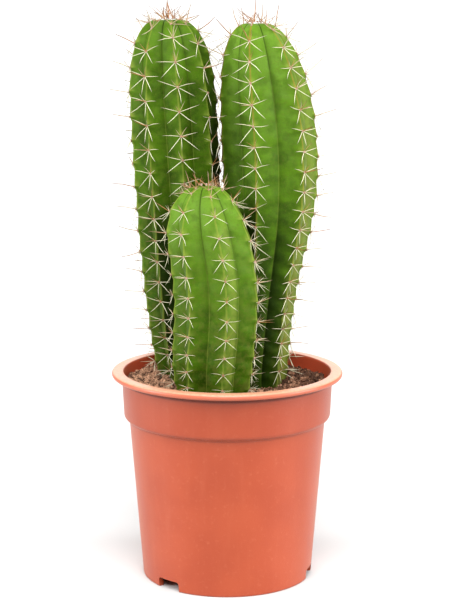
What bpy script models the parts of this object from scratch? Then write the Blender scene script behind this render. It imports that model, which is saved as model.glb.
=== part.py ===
"""A potted columnar cactus: three ribbed, spiny stems in a round plastic nursery pot.

Metres, +Z up. The pot stands on Z = 0 with its axis on Z, and the front is at -Y.
Angles round an axis are counted from the front, positive towards +X.
"""

import math
import random
from dataclasses import dataclass

import bmesh
import bpy
from mathutils import Matrix, Vector

MM = 0.001
FIT_GAP = 0.3 * MM
MERGE_DISTANCE = 0.01 * MM
OBJECT_NAME = "potted_polaskia_chende"

# Pot: radii are those of the outer side
RIM_RADIUS = 85.0 * MM
RIM_HEIGHT = 154.3 * MM
RIM_LIP = 1.8 * MM
BAND_TOP_RADIUS = 77.5 * MM
BAND_TOP = 147.5 * MM
BAND_RADIUS = 76.3 * MM
BAND_CORNER = 3.6 * MM
BAND_CORNER_END = -80
BAND_BOTTOM = 118.8 * MM
BODY_TOP_RADIUS = 72.2 * MM
BODY_TOP = 116.4 * MM
FOOT_RADIUS = 62.7 * MM
FOOT_CORNER = 1.4 * MM
FOOT_RING = 3.0 * MM
FOOT_RING_TOP = 3.0 * MM
WALL = 1.5 * MM
FLOOR_UNDERSIDE = 8.4 * MM
FLOOR_TOP = 9.9 * MM
TURNED_STEPS = 48
CORNER_STEPS = 2
POT_CREASE = math.radians(35)

NOTCH_WIDTH = 20.0 * MM
NOTCH_HEIGHT = 7.5 * MM
NOTCH_CORNER = 2.0 * MM
NOTCH_DEPTH = 20.0 * MM
NOTCH_COUNT = 3
NOTCH_FIRST = math.radians(-43)
DRAIN_RADIUS = 4.5 * MM
DRAIN_CIRCLE = 44.0 * MM
DRAIN_COUNT = 6
DRAIN_SIDES = 12
DRILL_DEPTH = 6.0 * MM

# Soil: a shallow bowl, higher at the wall, with lumps that repeat along X, Y and their diagonal
SOIL_MIDDLE = 138.5 * MM
SOIL_BOWL = 8.0 * MM
SOIL_BOWL_POWER = 1.5
SOIL_LEFT_RISE = 1.5 * MM
SOIL_LUMP = 0.7 * MM
LUMP_ALONG_X = 21.7 * MM
LUMP_ALONG_Y = 18.9 * MM
LUMP_DIAGONAL = 30.1 * MM
DIAGONAL_SHARE = 0.6
SOIL_RINGS = 9
SOIL_CREASE = math.radians(50)

# Stems
SIDES_PER_RIB = 4
DOME_RINGS = 7
SHAFT_RING_HEIGHT = 19.0 * MM
BURIED_DEPTH = 38.0 * MM
BURIED_TAPER = 12.0 * MM
BURIED_SHARE = 0.84
GROOVE_SHARE = 0.76
RIB_POWER = 1.25
CURL_POWER = 4
STEM_CREASE = math.radians(40)
HOLE_CLEARANCE = 1.2 * MM
HOLE_SIDES = 24

# Areoles and spines
APEX_AREOLE = 4.0 * MM
CREST_SAMPLES = 900
TANGENT_SAMPLES = 3
SPINE_RADIUS = 0.5 * MM
SPINE_SIDES = 3
SPINE_ROOT = 1.2 * MM
SPINE_JITTER = 0.10
LENGTH_SPREAD = (0.86, 1.08)
YOUNG_REACH = 26.0 * MM
YOUNG_LIFT = 0.9
YOUNG_SHORTER = 0.25
NEIGHBOUR_CLEARANCE = 1.2 * MM
SPINE_PROBES = 7
BEND_STEPS = (0.0, 0.5, 1.0, 1.8)
BEND_ALONG = 0.5


@dataclass(frozen=True)
class Spine:
    """A spine's direction, as shares across the rib, along it to the tip and outwards."""

    across: float
    along: float
    outward: float
    length: float


# Areoles take these stars in turn
SPINE_STARS = (
    (
        Spine(-0.70, -0.60, 0.38, 15.5 * MM),
        Spine(0.70, -0.60, 0.38, 15.5 * MM),
        Spine(0.05, 0.25, 0.96, 15.0 * MM),
    ),
    (
        Spine(-0.90, 0.14, 0.40, 13.5 * MM),
        Spine(0.90, 0.14, 0.40, 13.5 * MM),
        Spine(0.03, -0.82, 0.56, 12.5 * MM),
    ),
)


@dataclass(frozen=True)
class Stem:
    """One stem: where it stands, how it leans and swells, and how its ribs and areoles lie."""

    name: str
    foot: tuple
    ground: float
    tip: float
    lean: tuple
    bow: float
    curl: float
    twist: float
    base_radius: float
    full_radius: float
    swell: float
    swell_power: float
    dome: float
    dome_power: float
    ribs: int
    first_crest: float
    areole_spacing: float
    areole_shrink: float
    first_areoles: tuple
    seed: int


STEM_LEFT = Stem(
    name="stem_left",
    foot=(-27.8 * MM, 35.0 * MM),
    ground=145.0 * MM,
    tip=409.5 * MM,
    lean=(-0.0554, 0.0),
    bow=-1.0 * MM,
    curl=-0.7 * MM,
    twist=math.radians(3.6),
    base_radius=24.8 * MM,
    full_radius=32.4 * MM,
    swell=45.0 * MM,
    swell_power=1.0,
    dome=84.0 * MM,
    dome_power=2.95,
    ribs=8,
    first_crest=math.radians(-38),
    areole_spacing=18.2 * MM,
    areole_shrink=0.35,
    first_areoles=(20.8 * MM, 28.9 * MM, 16.2 * MM, 24 * MM, 14 * MM, 20 * MM, 28 * MM, 15 * MM),
    seed=11,
)
STEM_RIGHT = Stem(
    name="stem_right",
    foot=(21.5 * MM, 21.0 * MM),
    ground=143.0 * MM,
    tip=407.2 * MM,
    lean=(0.049, 0.03),
    bow=4.7 * MM,
    curl=-13.6 * MM,
    twist=math.radians(-0.7),
    base_radius=24.2 * MM,
    full_radius=36.1 * MM,
    swell=110.0 * MM,
    swell_power=4.17,
    dome=103.7 * MM,
    dome_power=2.59,
    ribs=6,
    first_crest=math.radians(-18),
    areole_spacing=15.8 * MM,
    areole_shrink=0.41,
    first_areoles=(12 * MM, 18.7 * MM, 26 * MM, 19 * MM, 14 * MM, 22 * MM),
    seed=23,
)
STEM_FRONT = Stem(
    name="stem_front",
    foot=(-9.1 * MM, -25.0 * MM),
    ground=140.0 * MM,
    tip=294.1 * MM,
    lean=(-0.0584, 0.0),
    bow=6.4 * MM,
    curl=2.4 * MM,
    twist=math.radians(-1.1),
    base_radius=26.0 * MM,
    full_radius=31.7 * MM,
    swell=17.0 * MM,
    swell_power=1.0,
    dome=50.0 * MM,
    dome_power=2.13,
    ribs=7,
    first_crest=math.radians(-38.4),
    areole_spacing=15.9 * MM,
    areole_shrink=0.35,
    first_areoles=(16.5 * MM, 19.3 * MM, 24.2 * MM, 14 * MM, 23 * MM, 27 * MM, 18 * MM),
    seed=37,
)
STEMS = (STEM_LEFT, STEM_RIGHT, STEM_FRONT)


def clear_scene():
    for leftover in list(bpy.data.objects):
        bpy.data.objects.remove(leftover, do_unlink=True)


def new_collection(name):
    collection = bpy.data.collections.new(name)
    bpy.context.scene.collection.children.link(collection)
    return collection


def linear(channel):
    """One channel of a colour as seen on a screen, 0 to 255, as linear light."""
    share = channel / 255
    return share / 12.92 if share <= 0.04045 else ((share + 0.055) / 1.055) ** 2.4


def plain_material(name, colour, roughness):
    material = bpy.data.materials.new(name)
    material.use_nodes = True
    shader = material.node_tree.nodes["Principled BSDF"]
    shader.inputs["Base Color"].default_value = (*map(linear, colour), 1.0)
    shader.inputs["Roughness"].default_value = roughness
    shader.inputs["Metallic"].default_value = 0.0
    return material


def pot_material():
    return plain_material("terracotta_plastic", (205, 98, 70), 0.5)


def soil_material():
    return plain_material("potting_soil", (118, 82, 66), 0.95)


def flesh_material():
    return plain_material("cactus_flesh", (84, 132, 44), 0.55)


def smooth_shaded(obj, crease):
    obj.data.shade_smooth()
    obj.data.set_sharp_from_angle(angle=crease)


def object_of(name, mesh_builder, collection):
    """An object whose mesh holds what a bmesh builder made."""
    mesh = bpy.data.meshes.new(name)
    mesh_builder.to_mesh(mesh)
    mesh_builder.free()
    obj = bpy.data.objects.new(name, mesh)
    collection.objects.link(obj)
    return obj


def around(angle, radius, height=0.0):
    """The point at an angle from the front, a radius and a height about the Z axis."""
    return Vector((radius * math.sin(angle), -radius * math.cos(angle), height))


def corner(centre, radius, start, end):
    """Points of a rounded corner in a turned profile, from one angle in degrees to another."""
    points = []
    for step in range(CORNER_STEPS + 1):
        angle = math.radians(start + (end - start) * step / CORNER_STEPS)
        points.append((centre[0] + radius * math.cos(angle), centre[1] + radius * math.sin(angle)))
    return points


def turned(name, profile, collection):
    """A solid of revolution: the profile's points are (radius, height)."""
    outline = bmesh.new()
    points = [outline.verts.new((radius, 0.0, height)) for radius, height in profile]
    for start, end in zip(points, points[1:]):
        outline.edges.new((start, end))
    obj = object_of(name, outline, collection)
    screw = obj.modifiers.new("Turn", "SCREW")
    screw.axis = "Z"
    screw.steps = TURNED_STEPS
    screw.render_steps = TURNED_STEPS
    screw.use_merge_vertices = True
    screw.merge_threshold = MERGE_DISTANCE
    return obj


def apply_modifiers(obj):
    """Replace an object's mesh by what its modifiers make of it."""
    graph = bpy.context.evaluated_depsgraph_get()
    finished = bpy.data.meshes.new_from_object(obj.evaluated_get(graph))
    obj.modifiers.clear()
    obj.data = finished


def body_radius(height):
    """Outer radius of the pot's tapered body."""
    share = height / BODY_TOP
    return FOOT_RADIUS + (BODY_TOP_RADIUS - FOOT_RADIUS) * share


def pot_outer_side():
    """From the rim's inner edge over the lip and down to the foot."""
    lip_centre = (RIM_RADIUS - RIM_LIP, RIM_HEIGHT - RIM_LIP)
    band_centre = (BAND_RADIUS - BAND_CORNER, BAND_BOTTOM + BAND_CORNER)
    foot_centre = (body_radius(FOOT_CORNER) - FOOT_CORNER, FOOT_CORNER)
    side = corner(lip_centre, RIM_LIP, 90, -90)
    side += [(BAND_TOP_RADIUS + WALL, RIM_HEIGHT - 2 * RIM_LIP), (BAND_TOP_RADIUS, BAND_TOP)]
    side += corner(band_centre, BAND_CORNER, 0, BAND_CORNER_END)
    side += [(BODY_TOP_RADIUS, BODY_TOP)]
    side += corner(foot_centre, FOOT_CORNER, 0, -90)
    return side


def pot_inner_side():
    """From the middle of the floor up the inside to the rim's flat top."""
    floor_edge = body_radius(FLOOR_TOP) - WALL
    return [
        (0.0, FLOOR_TOP),
        (floor_edge, FLOOR_TOP),
        (BODY_TOP_RADIUS - WALL, BODY_TOP),
        (BAND_RADIUS - WALL, BAND_BOTTOM + BAND_CORNER),
        (BAND_TOP_RADIUS - WALL, BAND_TOP),
        (BAND_TOP_RADIUS + WALL / 2, RIM_HEIGHT - WALL / 2),
        (BAND_TOP_RADIUS + 2 * WALL, RIM_HEIGHT),
    ]


def pot_underside():
    """From the foot ring's inner edge up to the raised floor and in to the axis."""
    ring = body_radius(0.0) - FOOT_CORNER - FOOT_RING
    return [
        (ring, 0.0),
        (ring, FOOT_RING_TOP),
        (body_radius(FLOOR_UNDERSIDE) - WALL, FLOOR_UNDERSIDE - WALL),
        (body_radius(FLOOR_UNDERSIDE) - 2 * WALL, FLOOR_UNDERSIDE),
        (0.0, FLOOR_UNDERSIDE),
    ]


def notch_cutter(index, collection):
    """One drainage notch, a round-cornered block across the foot's wall."""
    block = bmesh.new()
    bmesh.ops.create_cube(block, size=1.0)
    bmesh.ops.scale(block, vec=(NOTCH_WIDTH, NOTCH_DEPTH, 2 * NOTCH_HEIGHT), verts=block.verts)
    upper = [
        edge
        for edge in block.edges
        if all(vert.co.z > 0 for vert in edge.verts)
        and abs(edge.verts[0].co.x - edge.verts[1].co.x) < MM
    ]
    bmesh.ops.bevel(
        block, geom=upper, offset=NOTCH_CORNER, segments=CORNER_STEPS, profile=0.5, affect="EDGES"
    )
    cutter = object_of(f"notch_cutter_{index}", block, collection)
    angle = NOTCH_FIRST + index * math.tau / NOTCH_COUNT
    cutter.location = around(angle, FOOT_RADIUS)
    cutter.rotation_euler.z = angle
    return cutter


def drain_cutter(index, collection):
    """One round drainage hole through the floor."""
    drill = bmesh.new()
    bmesh.ops.create_cone(
        drill,
        cap_ends=True,
        segments=DRAIN_SIDES,
        radius1=DRAIN_RADIUS,
        radius2=DRAIN_RADIUS,
        depth=DRILL_DEPTH,
    )
    cutter = object_of(f"drain_cutter_{index}", drill, collection)
    angle = NOTCH_FIRST + index * math.tau / DRAIN_COUNT
    cutter.location = around(angle, DRAIN_CIRCLE, (FLOOR_TOP + FLOOR_UNDERSIDE) / 2)
    return cutter


def hide_cutter(cutter):
    cutter.hide_render = True
    cutter.display_type = "WIRE"


def cut_by_collection(obj, collection, name):
    cut = obj.modifiers.new(name, "BOOLEAN")
    cut.operation = "DIFFERENCE"
    cut.operand_type = "COLLECTION"
    cut.collection = collection


def make_pot(parts):
    pot = turned("pot", pot_inner_side() + pot_outer_side() + pot_underside(), parts)
    cutters = new_collection("pot_cutters")
    for index in range(NOTCH_COUNT):
        hide_cutter(notch_cutter(index, cutters))
    for index in range(DRAIN_COUNT):
        hide_cutter(drain_cutter(index, cutters))
    cut_by_collection(pot, cutters, "Notches and drains")
    pot.data.materials.append(pot_material())
    apply_modifiers(pot)
    smooth_shaded(pot, POT_CREASE)
    return pot


def soil_height(x, y):
    """Height of the soil's surface: a bowl with a rise at the left, and small lumps."""
    share = math.hypot(x, y) / BAND_RADIUS
    lump = math.sin(math.tau * x / LUMP_ALONG_X + 1.0) * math.sin(math.tau * y / LUMP_ALONG_Y)
    lump += DIAGONAL_SHARE * math.sin(math.tau * (x + y) / LUMP_DIAGONAL)
    bowl = SOIL_BOWL * share**SOIL_BOWL_POWER
    return SOIL_MIDDLE + bowl - SOIL_LEFT_RISE * x / BAND_RADIUS + SOIL_LUMP * lump


def soil_profile():
    """Soil up to its surface, inside the pot's wall and on its floor."""
    edge = BAND_RADIUS - WALL - FIT_GAP
    surface = [(edge * ring / SOIL_RINGS, SOIL_MIDDLE) for ring in range(SOIL_RINGS + 1)]
    floor = FLOOR_TOP + FIT_GAP
    return surface + [
        (edge, BAND_BOTTOM + BAND_CORNER),
        (BODY_TOP_RADIUS - WALL - FIT_GAP, BODY_TOP),
        (body_radius(floor) - WALL - FIT_GAP, floor),
        (0.0, floor),
    ]


def hole_cutter(stem, collection):
    """The plain round hole that a stem stands in."""
    reach = 2 * BURIED_DEPTH
    drill = bmesh.new()
    hole_radius = crest_radius(stem, stem.ground + BURIED_TAPER / 2) + HOLE_CLEARANCE
    bmesh.ops.create_cone(
        drill, cap_ends=True, segments=HOLE_SIDES, radius1=hole_radius, radius2=hole_radius, depth=reach
    )
    cutter = object_of(f"hole_cutter_{stem.name}", drill, collection)
    floor = stem.ground - BURIED_DEPTH - FIT_GAP
    cutter.location = (*stem.foot, floor + reach / 2)
    return cutter


def make_soil(parts):
    soil = turned("soil", soil_profile(), parts)
    apply_modifiers(soil)
    for vertex in soil.data.vertices:
        if vertex.co.z > SOIL_MIDDLE - MM:
            vertex.co.z = soil_height(vertex.co.x, vertex.co.y)
    holes = new_collection("soil_cutters")
    for stem in STEMS:
        hide_cutter(hole_cutter(stem, holes))
    cut_by_collection(soil, holes, "Stem holes")
    soil.data.materials.append(soil_material())
    apply_modifiers(soil)
    smooth_shaded(soil, SOIL_CREASE)
    return soil


def axis_point(stem, height):
    """The stem's centre at a height. Below the soil's surface it is upright."""
    rise = max(height - stem.ground, 0.0)
    share = rise / (stem.tip - stem.ground)
    x = stem.foot[0] + stem.lean[0] * rise
    x += stem.bow * math.sin(math.pi * share) ** 2 + stem.curl * share**CURL_POWER
    return Vector((x, stem.foot[1] + stem.lean[1] * rise, height))


def crest_radius(stem, height):
    """Radius over the rib crests: narrow at the soil, full higher up, domed at the tip."""
    if height >= stem.tip:
        return 0.0
    rise = height - stem.ground
    if rise < 0:
        sunk = min(-rise / BURIED_TAPER, 1.0)
        return stem.base_radius * (1 - (1 - BURIED_SHARE) * sunk)
    swell = 1 - math.exp(-((rise / stem.swell) ** stem.swell_power))
    radius = stem.base_radius + (stem.full_radius - stem.base_radius) * swell
    into_dome = max(height - (stem.tip - stem.dome), 0.0) / stem.dome
    return radius * (1 - into_dome**stem.dome_power) ** (1 / stem.dome_power)


def crest_angle(stem, crest, height):
    """Angle of a crest, which turns a little from the tip to the stem's middle."""
    down = min(2 * (stem.tip - height) / (stem.tip - stem.ground), 1.0)
    return stem.first_crest + crest * math.tau / stem.ribs + stem.twist * down


def rib_factor(stem, angle, height):
    """Share of the crest radius at an angle: 1 on a crest, less in a groove, 1 below ground."""
    turn = (angle - crest_angle(stem, 0, height)) * stem.ribs / math.tau
    off_crest = 2 * abs(turn - round(turn))
    depth = (1 - GROOVE_SHARE) * min(max(1 + (height - stem.ground) / BURIED_TAPER, 0.0), 1.0)
    return 1 - depth * off_crest**RIB_POWER


def surface_point(stem, angle, height):
    radius = crest_radius(stem, height) * rib_factor(stem, angle, height)
    return axis_point(stem, height) + around(angle, radius)


def ring_heights(stem):
    """Heights of the stem's rings, from the pole at its tip to the pole under its foot."""
    shoulder = stem.tip - stem.dome
    heights = [
        shoulder + stem.dome * math.cos(math.pi / 2 * ring / DOME_RINGS) for ring in range(DOME_RINGS)
    ]
    shaft = round((shoulder - stem.ground) / SHAFT_RING_HEIGHT)
    for ring in range(shaft + 1):
        heights.append(shoulder + (stem.ground - shoulder) * ring / shaft)
    bottom = stem.ground - BURIED_DEPTH
    return heights + [stem.ground - BURIED_TAPER, bottom, bottom]


def make_stem_body(stem, collection):
    """A sphere's net drawn out into the ribbed, domed column."""
    heights = ring_heights(stem)
    last = len(heights) - 1
    ball = bmesh.new()
    bmesh.ops.create_uvsphere(ball, u_segments=stem.ribs * SIDES_PER_RIB, v_segments=last, radius=1.0)
    for vertex in ball.verts:
        x, y, z = vertex.co
        ring = round(math.acos(max(-1.0, min(1.0, z))) / math.pi * last)
        if ring in (0, last):
            vertex.co = axis_point(stem, heights[ring])
            continue
        angle = math.atan2(x, -y) + crest_angle(stem, 0, heights[ring])
        vertex.co = surface_point(stem, angle, heights[ring])
    return object_of(stem.name, ball, collection)


def crest_line(stem, crest):
    """Points of one crest from the tip down to the soil, with the distance along it."""
    length = 0.0
    before = None
    line = []
    for sample in range(1, CREST_SAMPLES):
        share = sample / CREST_SAMPLES
        height = stem.tip - (stem.tip - stem.ground) * share**2
        angle = crest_angle(stem, crest, height)
        point = surface_point(stem, angle, height)
        if before is not None:
            length += (point - before).length
        line.append((length, point, angle))
        before = point
    return line


def areole_distances(stem, crest, crest_length):
    """Distances from the tip at which a crest carries its areoles."""
    first = stem.first_areoles[crest]
    distances = [APEX_AREOLE, (APEX_AREOLE + first) / 2, first]
    while distances[-1] < crest_length:
        shrink = stem.areole_shrink * (distances[-1] / crest_length) ** 2
        distances.append(distances[-1] + stem.areole_spacing * (1 - shrink))
    return distances[:-1]


def areoles(stem):
    """Each areole's distance from the tip, point, and directions out, along and across."""
    found = []
    for crest in range(stem.ribs):
        line = crest_line(stem, crest)
        for distance in areole_distances(stem, crest, line[-1][0]):
            index = next(i for i, entry in enumerate(line) if entry[0] >= distance)
            point, angle = line[index][1:]
            above = line[max(index - TANGENT_SAMPLES, 0)][1]
            below = line[min(index + TANGENT_SAMPLES, len(line) - 1)][1]
            along = (above - below).normalized()
            across = around(angle, 1.0).cross(Vector((0, 0, 1))).normalized()
            outward = along.cross(across).normalized()
            if outward.dot(around(angle, 1.0, 0.5)) < 0:
                outward.negate()
            found.append((distance, point, outward, along, across))
    return found


def clear_of_neighbours(root, end, stem, taken):
    """Whether a spine misses the other stems, their spines, the soil and the pot."""
    for probe in range(1, SPINE_PROBES + 1):
        point = root.lerp(end, probe / SPINE_PROBES)
        if point.z < soil_height(point.x, point.y) + NEIGHBOUR_CLEARANCE:
            return False
        rim = BAND_TOP_RADIUS - 2 * WALL if point.z < RIM_HEIGHT + NEIGHBOUR_CLEARANCE else math.inf
        if math.hypot(point.x, point.y) > rim:
            return False
        for other in STEMS:
            if other is stem or point.z > other.tip + NEIGHBOUR_CLEARANCE:
                continue
            axis = axis_point(other, min(point.z, other.tip))
            if (point - axis).xy.length < crest_radius(other, point.z) + NEIGHBOUR_CLEARANCE:
                return False
        for start, stop in taken:
            along = stop - start
            share = min(max((point - start).dot(along) / along.length_squared, 0.0), 1.0)
            if (start + share * along - point).length < NEIGHBOUR_CLEARANCE:
                return False
    return True


def place_spine(spine, areole, stem, taken, draw):
    """Root and end of a spine, bent towards its areole's outward side until it is clear."""
    distance, point, outward, along, across = areole
    young = max(1 - distance / YOUNG_REACH, 0.0)
    length = spine.length * draw.uniform(*LENGTH_SPREAD) * (1 - YOUNG_SHORTER * young)
    wobble = Vector([draw.uniform(-SPINE_JITTER, SPINE_JITTER) for _ in range(3)])
    for bend in BEND_STEPS:
        upward = spine.along + YOUNG_LIFT * young + BEND_ALONG * bend
        direction = across * spine.across + along * upward + outward * (spine.outward + bend) + wobble
        direction.normalize()
        end = point + direction * length
        if clear_of_neighbours(point, end, stem, taken):
            root = point - direction * SPINE_ROOT - outward * SPINE_ROOT
            return root, end
    return None


def make_spine(name, root, end, collection):
    """A slender three-sided cone from its sunk root to its sharp end."""
    axis = end - root
    cone = bmesh.new()
    bmesh.ops.create_cone(
        cone, cap_ends=True, segments=SPINE_SIDES, radius1=SPINE_RADIUS, radius2=0.0, depth=axis.length
    )
    bmesh.ops.remove_doubles(cone, verts=cone.verts, dist=MERGE_DISTANCE)
    turn = axis.to_track_quat("Z", "Y").to_matrix().to_4x4()
    bmesh.ops.transform(cone, matrix=Matrix.Translation((root + end) / 2) @ turn, verts=cone.verts)
    return object_of(name, cone, collection)


def grow_spines(stem, taken):
    """Roots and ends of all of a stem's spines."""
    draw = random.Random(stem.seed)
    placed = []
    for number, areole in enumerate(areoles(stem)):
        for spine in SPINE_STARS[number % len(SPINE_STARS)]:
            ends = place_spine(spine, areole, stem, taken, draw)
            if ends is not None:
                placed.append(ends)
    return placed


def make_stem(stem, parts, flesh, taken):
    """The stem's body with its spines fused to it."""
    body = make_stem_body(stem, parts)
    spines = new_collection(f"{stem.name}_spines")
    placed = grow_spines(stem, taken)
    for number, (root, end) in enumerate(placed):
        make_spine(f"{stem.name}_spine_{number}", root, end, spines)
    join = body.modifiers.new("Spines", "BOOLEAN")
    join.operation = "UNION"
    join.operand_type = "COLLECTION"
    join.collection = spines
    apply_modifiers(body)
    for spine in list(spines.objects):
        bpy.data.objects.remove(spine, do_unlink=True)
    bpy.data.collections.remove(spines)
    body.data.materials.clear()
    body.data.materials.append(flesh)
    smooth_shaded(body, STEM_CREASE)
    taken.extend(placed)
    return body


def main():
    clear_scene()
    parts = new_collection(OBJECT_NAME)
    make_pot(parts)
    make_soil(parts)
    flesh = flesh_material()
    taken = []
    for stem in STEMS:
        make_stem(stem, parts, flesh, taken)


main()
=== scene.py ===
"""Looks of a potted columnar cactus: three ribbed, spiny stems, crumbly soil and a round plastic pot.

Metres, +Z up. The pot stands on Z = 0 with its axis on Z, and the camera looks along +Y.
Angles round an axis are counted from the front, positive towards +X.
"""

import logging
import math
import random
from contextlib import contextmanager
from dataclasses import dataclass, field
from enum import Enum
from typing import Callable, Iterator, Sequence

import bmesh
import bpy
import numpy as np
from mathutils import Matrix, Vector, noise


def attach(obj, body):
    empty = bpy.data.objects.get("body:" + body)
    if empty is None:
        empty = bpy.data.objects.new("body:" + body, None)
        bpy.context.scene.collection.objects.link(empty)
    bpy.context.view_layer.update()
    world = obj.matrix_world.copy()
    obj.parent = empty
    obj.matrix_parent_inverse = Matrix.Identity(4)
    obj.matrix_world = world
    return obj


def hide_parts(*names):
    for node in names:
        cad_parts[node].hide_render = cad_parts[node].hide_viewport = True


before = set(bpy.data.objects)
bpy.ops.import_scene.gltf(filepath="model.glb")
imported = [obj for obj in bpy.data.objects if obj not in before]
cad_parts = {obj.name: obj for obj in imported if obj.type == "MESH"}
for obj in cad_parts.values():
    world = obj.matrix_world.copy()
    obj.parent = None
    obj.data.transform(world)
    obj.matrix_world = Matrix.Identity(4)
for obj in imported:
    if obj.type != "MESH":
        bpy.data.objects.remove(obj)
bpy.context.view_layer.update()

log = logging.getLogger("potted_cactus")

MM = 0.001
BODY = "root"
MERGE_DISTANCE = 0.01 * MM
Number = float | np.ndarray


@dataclass(frozen=True)
class Colour:
    """A colour as seen on a screen, each channel from 0 to 255."""

    red: float
    green: float
    blue: float

    def linear(self) -> tuple[float, float, float, float]:
        """The colour as linear light.

        Returns:
            Red, green, blue and full alpha, each from 0 to 1.
        """
        shares = [channel / 255 for channel in (self.red, self.green, self.blue)]
        light = [s / 12.92 if s <= 0.04045 else ((s + 0.055) / 1.055) ** 2.4 for s in shares]
        return (light[0], light[1], light[2], 1.0)


class Signal:
    """A shader socket that stands in Python expressions: each operator adds its Math node."""

    def __init__(self, wiring: "Wiring", socket: bpy.types.NodeSocket) -> None:
        """Wrap a node's output."""
        self.wiring = wiring
        self.socket = socket

    def math(self, operation: str, first: object, second: object) -> "Signal":
        """Add a Math node, by Blender's name for its operation, and return its result."""
        return self.wiring.node("ShaderNodeMath", {"operation": operation}, {0: first, 1: second})

    def __add__(self, other: object) -> "Signal":
        """Sum."""
        return self.math("ADD", self, other)

    def __sub__(self, other: object) -> "Signal":
        """Difference."""
        return self.math("SUBTRACT", self, other)

    def __rsub__(self, other: object) -> "Signal":
        """Difference, reflected."""
        return self.math("SUBTRACT", other, self)

    def __mul__(self, other: object) -> "Signal":
        """Product."""
        return self.math("MULTIPLY", self, other)

    def __pow__(self, other: object) -> "Signal":
        """Power."""
        return self.math("POWER", self, other)

    __radd__ = __add__
    __rmul__ = __mul__

    def step(self, low: float, high: float) -> "Signal":
        """Rise smoothly from 0 to 1.

        Args:
            low: Where the result is 0.
            high: Where the result is 1. It may be less than low, for a fall.

        Returns:
            The smooth step.
        """
        if low > high:
            return 1.0 - self.step(high, low)
        inputs = {"Value": self, "From Min": low, "From Max": high}
        return self.wiring.node("ShaderNodeMapRange", {"interpolation_type": "SMOOTHSTEP"}, inputs)


class Wiring:
    """A material whose Principled shader is wired with Python expressions."""

    def __init__(self, name: str, roughness: float, **constants: object) -> None:
        """Make the material.

        Args:
            name: The material's name.
            roughness: The roughness where nothing varies it.
            constants: Other sockets of the shader that are the same all over, with _ for a space.
        """
        self.material = bpy.data.materials.new(name)
        self.material.use_nodes = True
        self.tree = self.material.node_tree
        self.shader = self.tree.nodes["Principled BSDF"]
        self.shader.inputs["Roughness"].default_value = roughness
        for socket, value in constants.items():
            self.shader.inputs[socket.replace("_", " ")].default_value = value

    def node(self, kind: str, settings: dict, inputs: dict, output: str | int = 0) -> Signal:
        """Add a node.

        Args:
            kind: The node's type.
            settings: Its settings, which are set first.
            inputs: A number, a Colour or a Signal for each socket, by name or number.
            output: The socket to return.

        Returns:
            That output.
        """
        made = self.tree.nodes.new(kind)
        for name, value in settings.items():
            setattr(made, name, value)
        for name, value in inputs.items():
            if isinstance(value, Signal):
                self.tree.links.new(value.socket, made.inputs[name])
            else:
                made.inputs[name].default_value = value.linear() if isinstance(value, Colour) else value
        return Signal(self, made.outputs[output])

    def place(self) -> Signal:
        """The point's object coordinates."""
        return self.node("ShaderNodeTexCoord", {}, {}, "Object")

    def along(self, axis: str) -> Signal:
        """One object coordinate, X, Y or Z."""
        return self.node("ShaderNodeSeparateXYZ", {}, {0: self.place()}, axis)

    def attribute(self, name: str) -> Signal:
        """A number that the mesh holds at each of its points."""
        return self.node("ShaderNodeAttribute", {"attribute_name": name}, {}, "Fac")

    def streaks(self, scale: tuple[float, float, float], detail: float) -> Signal:
        """Noise that is stretched: its clouds to a metre along each axis, and its layers."""
        where = self.node("ShaderNodeMapping", {}, {"Vector": self.place(), "Scale": scale}, "Vector")
        return self.noise(1.0, detail, where)

    def noise(self, size: float, detail: float, where: Signal | None = None) -> Signal:
        """Cloudy noise of some size and layers, from 0 to 1, at the object's or other coordinates."""
        inputs = {"Vector": where or self.place(), "Scale": 1 / size, "Detail": detail}
        return self.node("ShaderNodeTexNoise", {}, inputs, "Fac")

    def cells(self, size: float) -> Signal:
        """Distance to the nearest of points scattered at this mean spacing, 0 at a point."""
        inputs = {"Vector": self.place(), "Scale": 1 / size}
        return self.node("ShaderNodeTexVoronoi", {}, inputs, "Distance")

    def mix(self, factor: float | Signal, start: object, end: object) -> Signal:
        """Mix two colours, each a Colour or a Signal: a factor of 0 gives the start, and 1 the end."""
        # Sockets 6 and 7 are the node's two colours, and output 2 is the mixed one.
        return self.node("ShaderNodeMix", {"data_type": "RGBA"}, {0: factor, 6: start, 7: end}, 2)

    def layered(self, colour: object, *layers: tuple[float | Signal, object]) -> Signal:
        """Lay colours over a colour.

        Args:
            colour: The lowest colour.
            layers: Pairs of how much a colour covers, from 0 to 1, and that colour, lowest first.

        Returns:
            The colour that is seen.
        """
        for cover, over in layers:
            colour = self.mix(cover, colour, over)
        return colour

    def bump(self, height: Signal, depth: float, **under: Signal) -> Signal:
        """Tilt the normal, or the Normal that is given, by a height from 0 to 1 that is so deep."""
        inputs = {"Height": height, "Distance": depth, "Strength": 1.0, **under}
        return self.node("ShaderNodeBump", {}, inputs, "Normal")

    def feed(self, **sockets: Signal) -> bpy.types.Material:
        """Feed the shader's sockets.

        Args:
            sockets: The signal for each of them, with _ for a space in its name.

        Returns:
            The finished material.
        """
        for name, signal in sockets.items():
            self.tree.links.new(signal.socket, self.shader.inputs[name.replace("_", " ")])
        return self.material


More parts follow.
